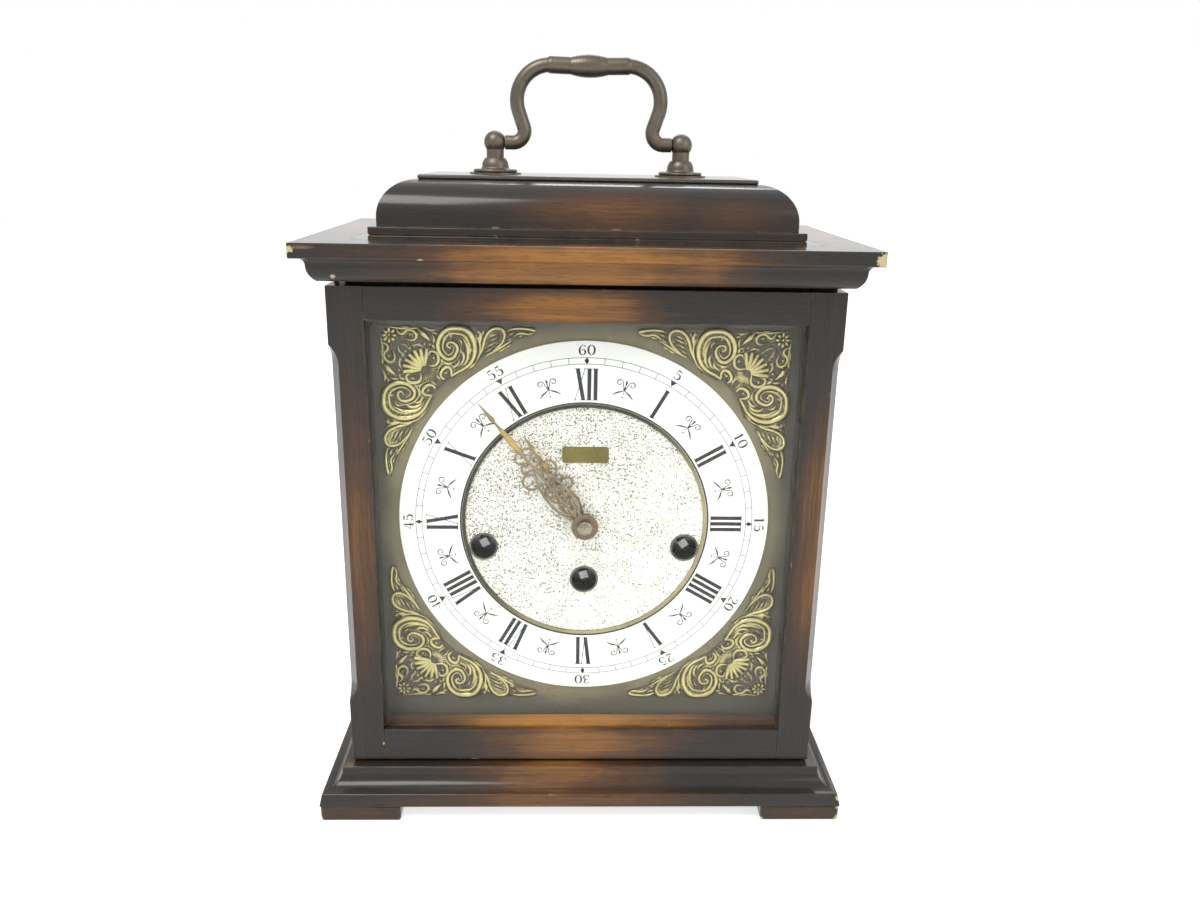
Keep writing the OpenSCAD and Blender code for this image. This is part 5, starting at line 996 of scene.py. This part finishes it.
def add_spandrel(bm, side, height):
    """Adds one corner's casting; side is 1 at the right, and height is 1 at the top."""
    place = (Matrix.Translation((dial_middle.x, castings_back, dial_middle.z))
             @ Matrix.Diagonal((-side * MM, MM, height * MM, 1)) @ Matrix.Translation((-CORNER, 0, CORNER)))
    ground = spandrel_ground()
    bmesh.ops.transform(ground, matrix=place, verts=ground.verts)
    take_up(bm, mesh_of(ground, "ground"))
    at = place @ Matrix.Translation((0, -GROUND_T, 0))
    take_up(bm, strokes_mesh("scrolls", spandrel_drawing(), at, RELIEF_FLAT, 4, 1, weight=RELIEF_PEN))
    for along, down, radius in [arm[0] for bead in BEADS for arm in both_arms([bead])] + [(4.6, -4.6, 0.9)]:
        shape = place @ Matrix.Translation((along, -GROUND_T, down)) @ Matrix.Scale(radius, 4)
        bmesh.ops.create_icosphere(bm, subdivisions=2, radius=1, matrix=shape)


spandrels = bmesh.new()
for side, height in ((-1, 1), (1, 1), (-1, -1), (1, -1)):
    add_spandrel(spandrels, side, height)
bmesh.ops.recalc_face_normals(spandrels, faces=spandrels.faces)
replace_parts(piece_from(spandrels, "scrolled_spandrels", spandrel_finish(), "case"),
            "corner_spandrels")


# Floor, light and camera

def shown(tree):
    """1 where the camera sees a surface straight, in a reflection or through glass."""
    rays = put(tree, "LightPath").outputs
    return maths(tree, "MAXIMUM", rays["Is Camera Ray"],
                 maths(tree, "MAXIMUM", rays["Is Glossy Ray"], rays["Is Transmission Ray"]))


def pale_floor():
    made, tree, shader = new_finish("pale floor", Roughness=0.9, Specular_IOR_Level=0.0,
                                    Base_Color=(0.86, 0.86, 0.86, 1), Emission_Color=(1, 1, 1, 1))
    tree.links.new(times(tree, shown(tree), 0.7), shader.inputs["Emission Strength"])
    return made


disc = bmesh.new()
bmesh.ops.create_circle(disc, cap_ends=True, segments=96, radius=4.0)
floor = set_down("floor", mesh_of(disc, "floor"))
floor.data.materials.append(pale_floor())

world = bpy.data.worlds.new("studio")
world.use_nodes = True
sky = world.node_tree
backdrop = sky.nodes["Background"]
backdrop.inputs["Color"].default_value = (1, 1, 1, 1)
sky.links.new(plus(sky, times(sky, shown(sky), 0.45), 0.55), backdrop.inputs["Strength"])
bpy.context.scene.world = world


def softbox(name, place, aim, size, power):
    lamp = bpy.data.lights.new(name, "AREA")
    lamp.shape = "RECTANGLE"
    lamp.size, lamp.size_y = size
    lamp.energy = power
    holder = set_down(name, lamp)
    holder.location = place
    holder.rotation_euler = (Vector(aim) - Vector(place)).to_track_quat("-Z", "Y").to_euler()


softbox("key softbox", (-0.62, -0.78, 1.6), (0, 0, 0.15), (0.7, 0.7), 17)
softbox("fill softbox", (1.1, -0.9, 0.8), (0, 0, 0.15), (0.9, 0.9), 5)
softbox("back softbox", (0.2, 1.2, 1.2), (0, 0, 0.15), (1.0, 0.6), 6)

camera_data = bpy.data.cameras.new("camera")
camera_data.lens = 30
camera_data.sensor_width = 36
camera_data.clip_start = 0.02
camera = set_down("camera", camera_data)
CAMERA_PLACE = Vector((-7.38, -486.11, 310.15)) * MM
yaw, pitch, roll = (math.radians(angle) for angle in (1.82, 16.71, 1.07))
ahead = Vector((math.sin(yaw) * math.cos(pitch), math.cos(yaw) * math.cos(pitch), -math.sin(pitch)))
level = Vector((math.cos(yaw), -math.sin(yaw), 0))
upward = level.cross(ahead)
right = level * math.cos(roll) + upward * math.sin(roll)
above = upward * math.cos(roll) - level * math.sin(roll)
camera.matrix_world = Matrix.Translation(CAMERA_PLACE) @ Matrix((right, above, -ahead)).transposed().to_4x4()
bpy.context.scene.camera = camera
bpy.context.scene.view_settings.view_transform = "Standard"
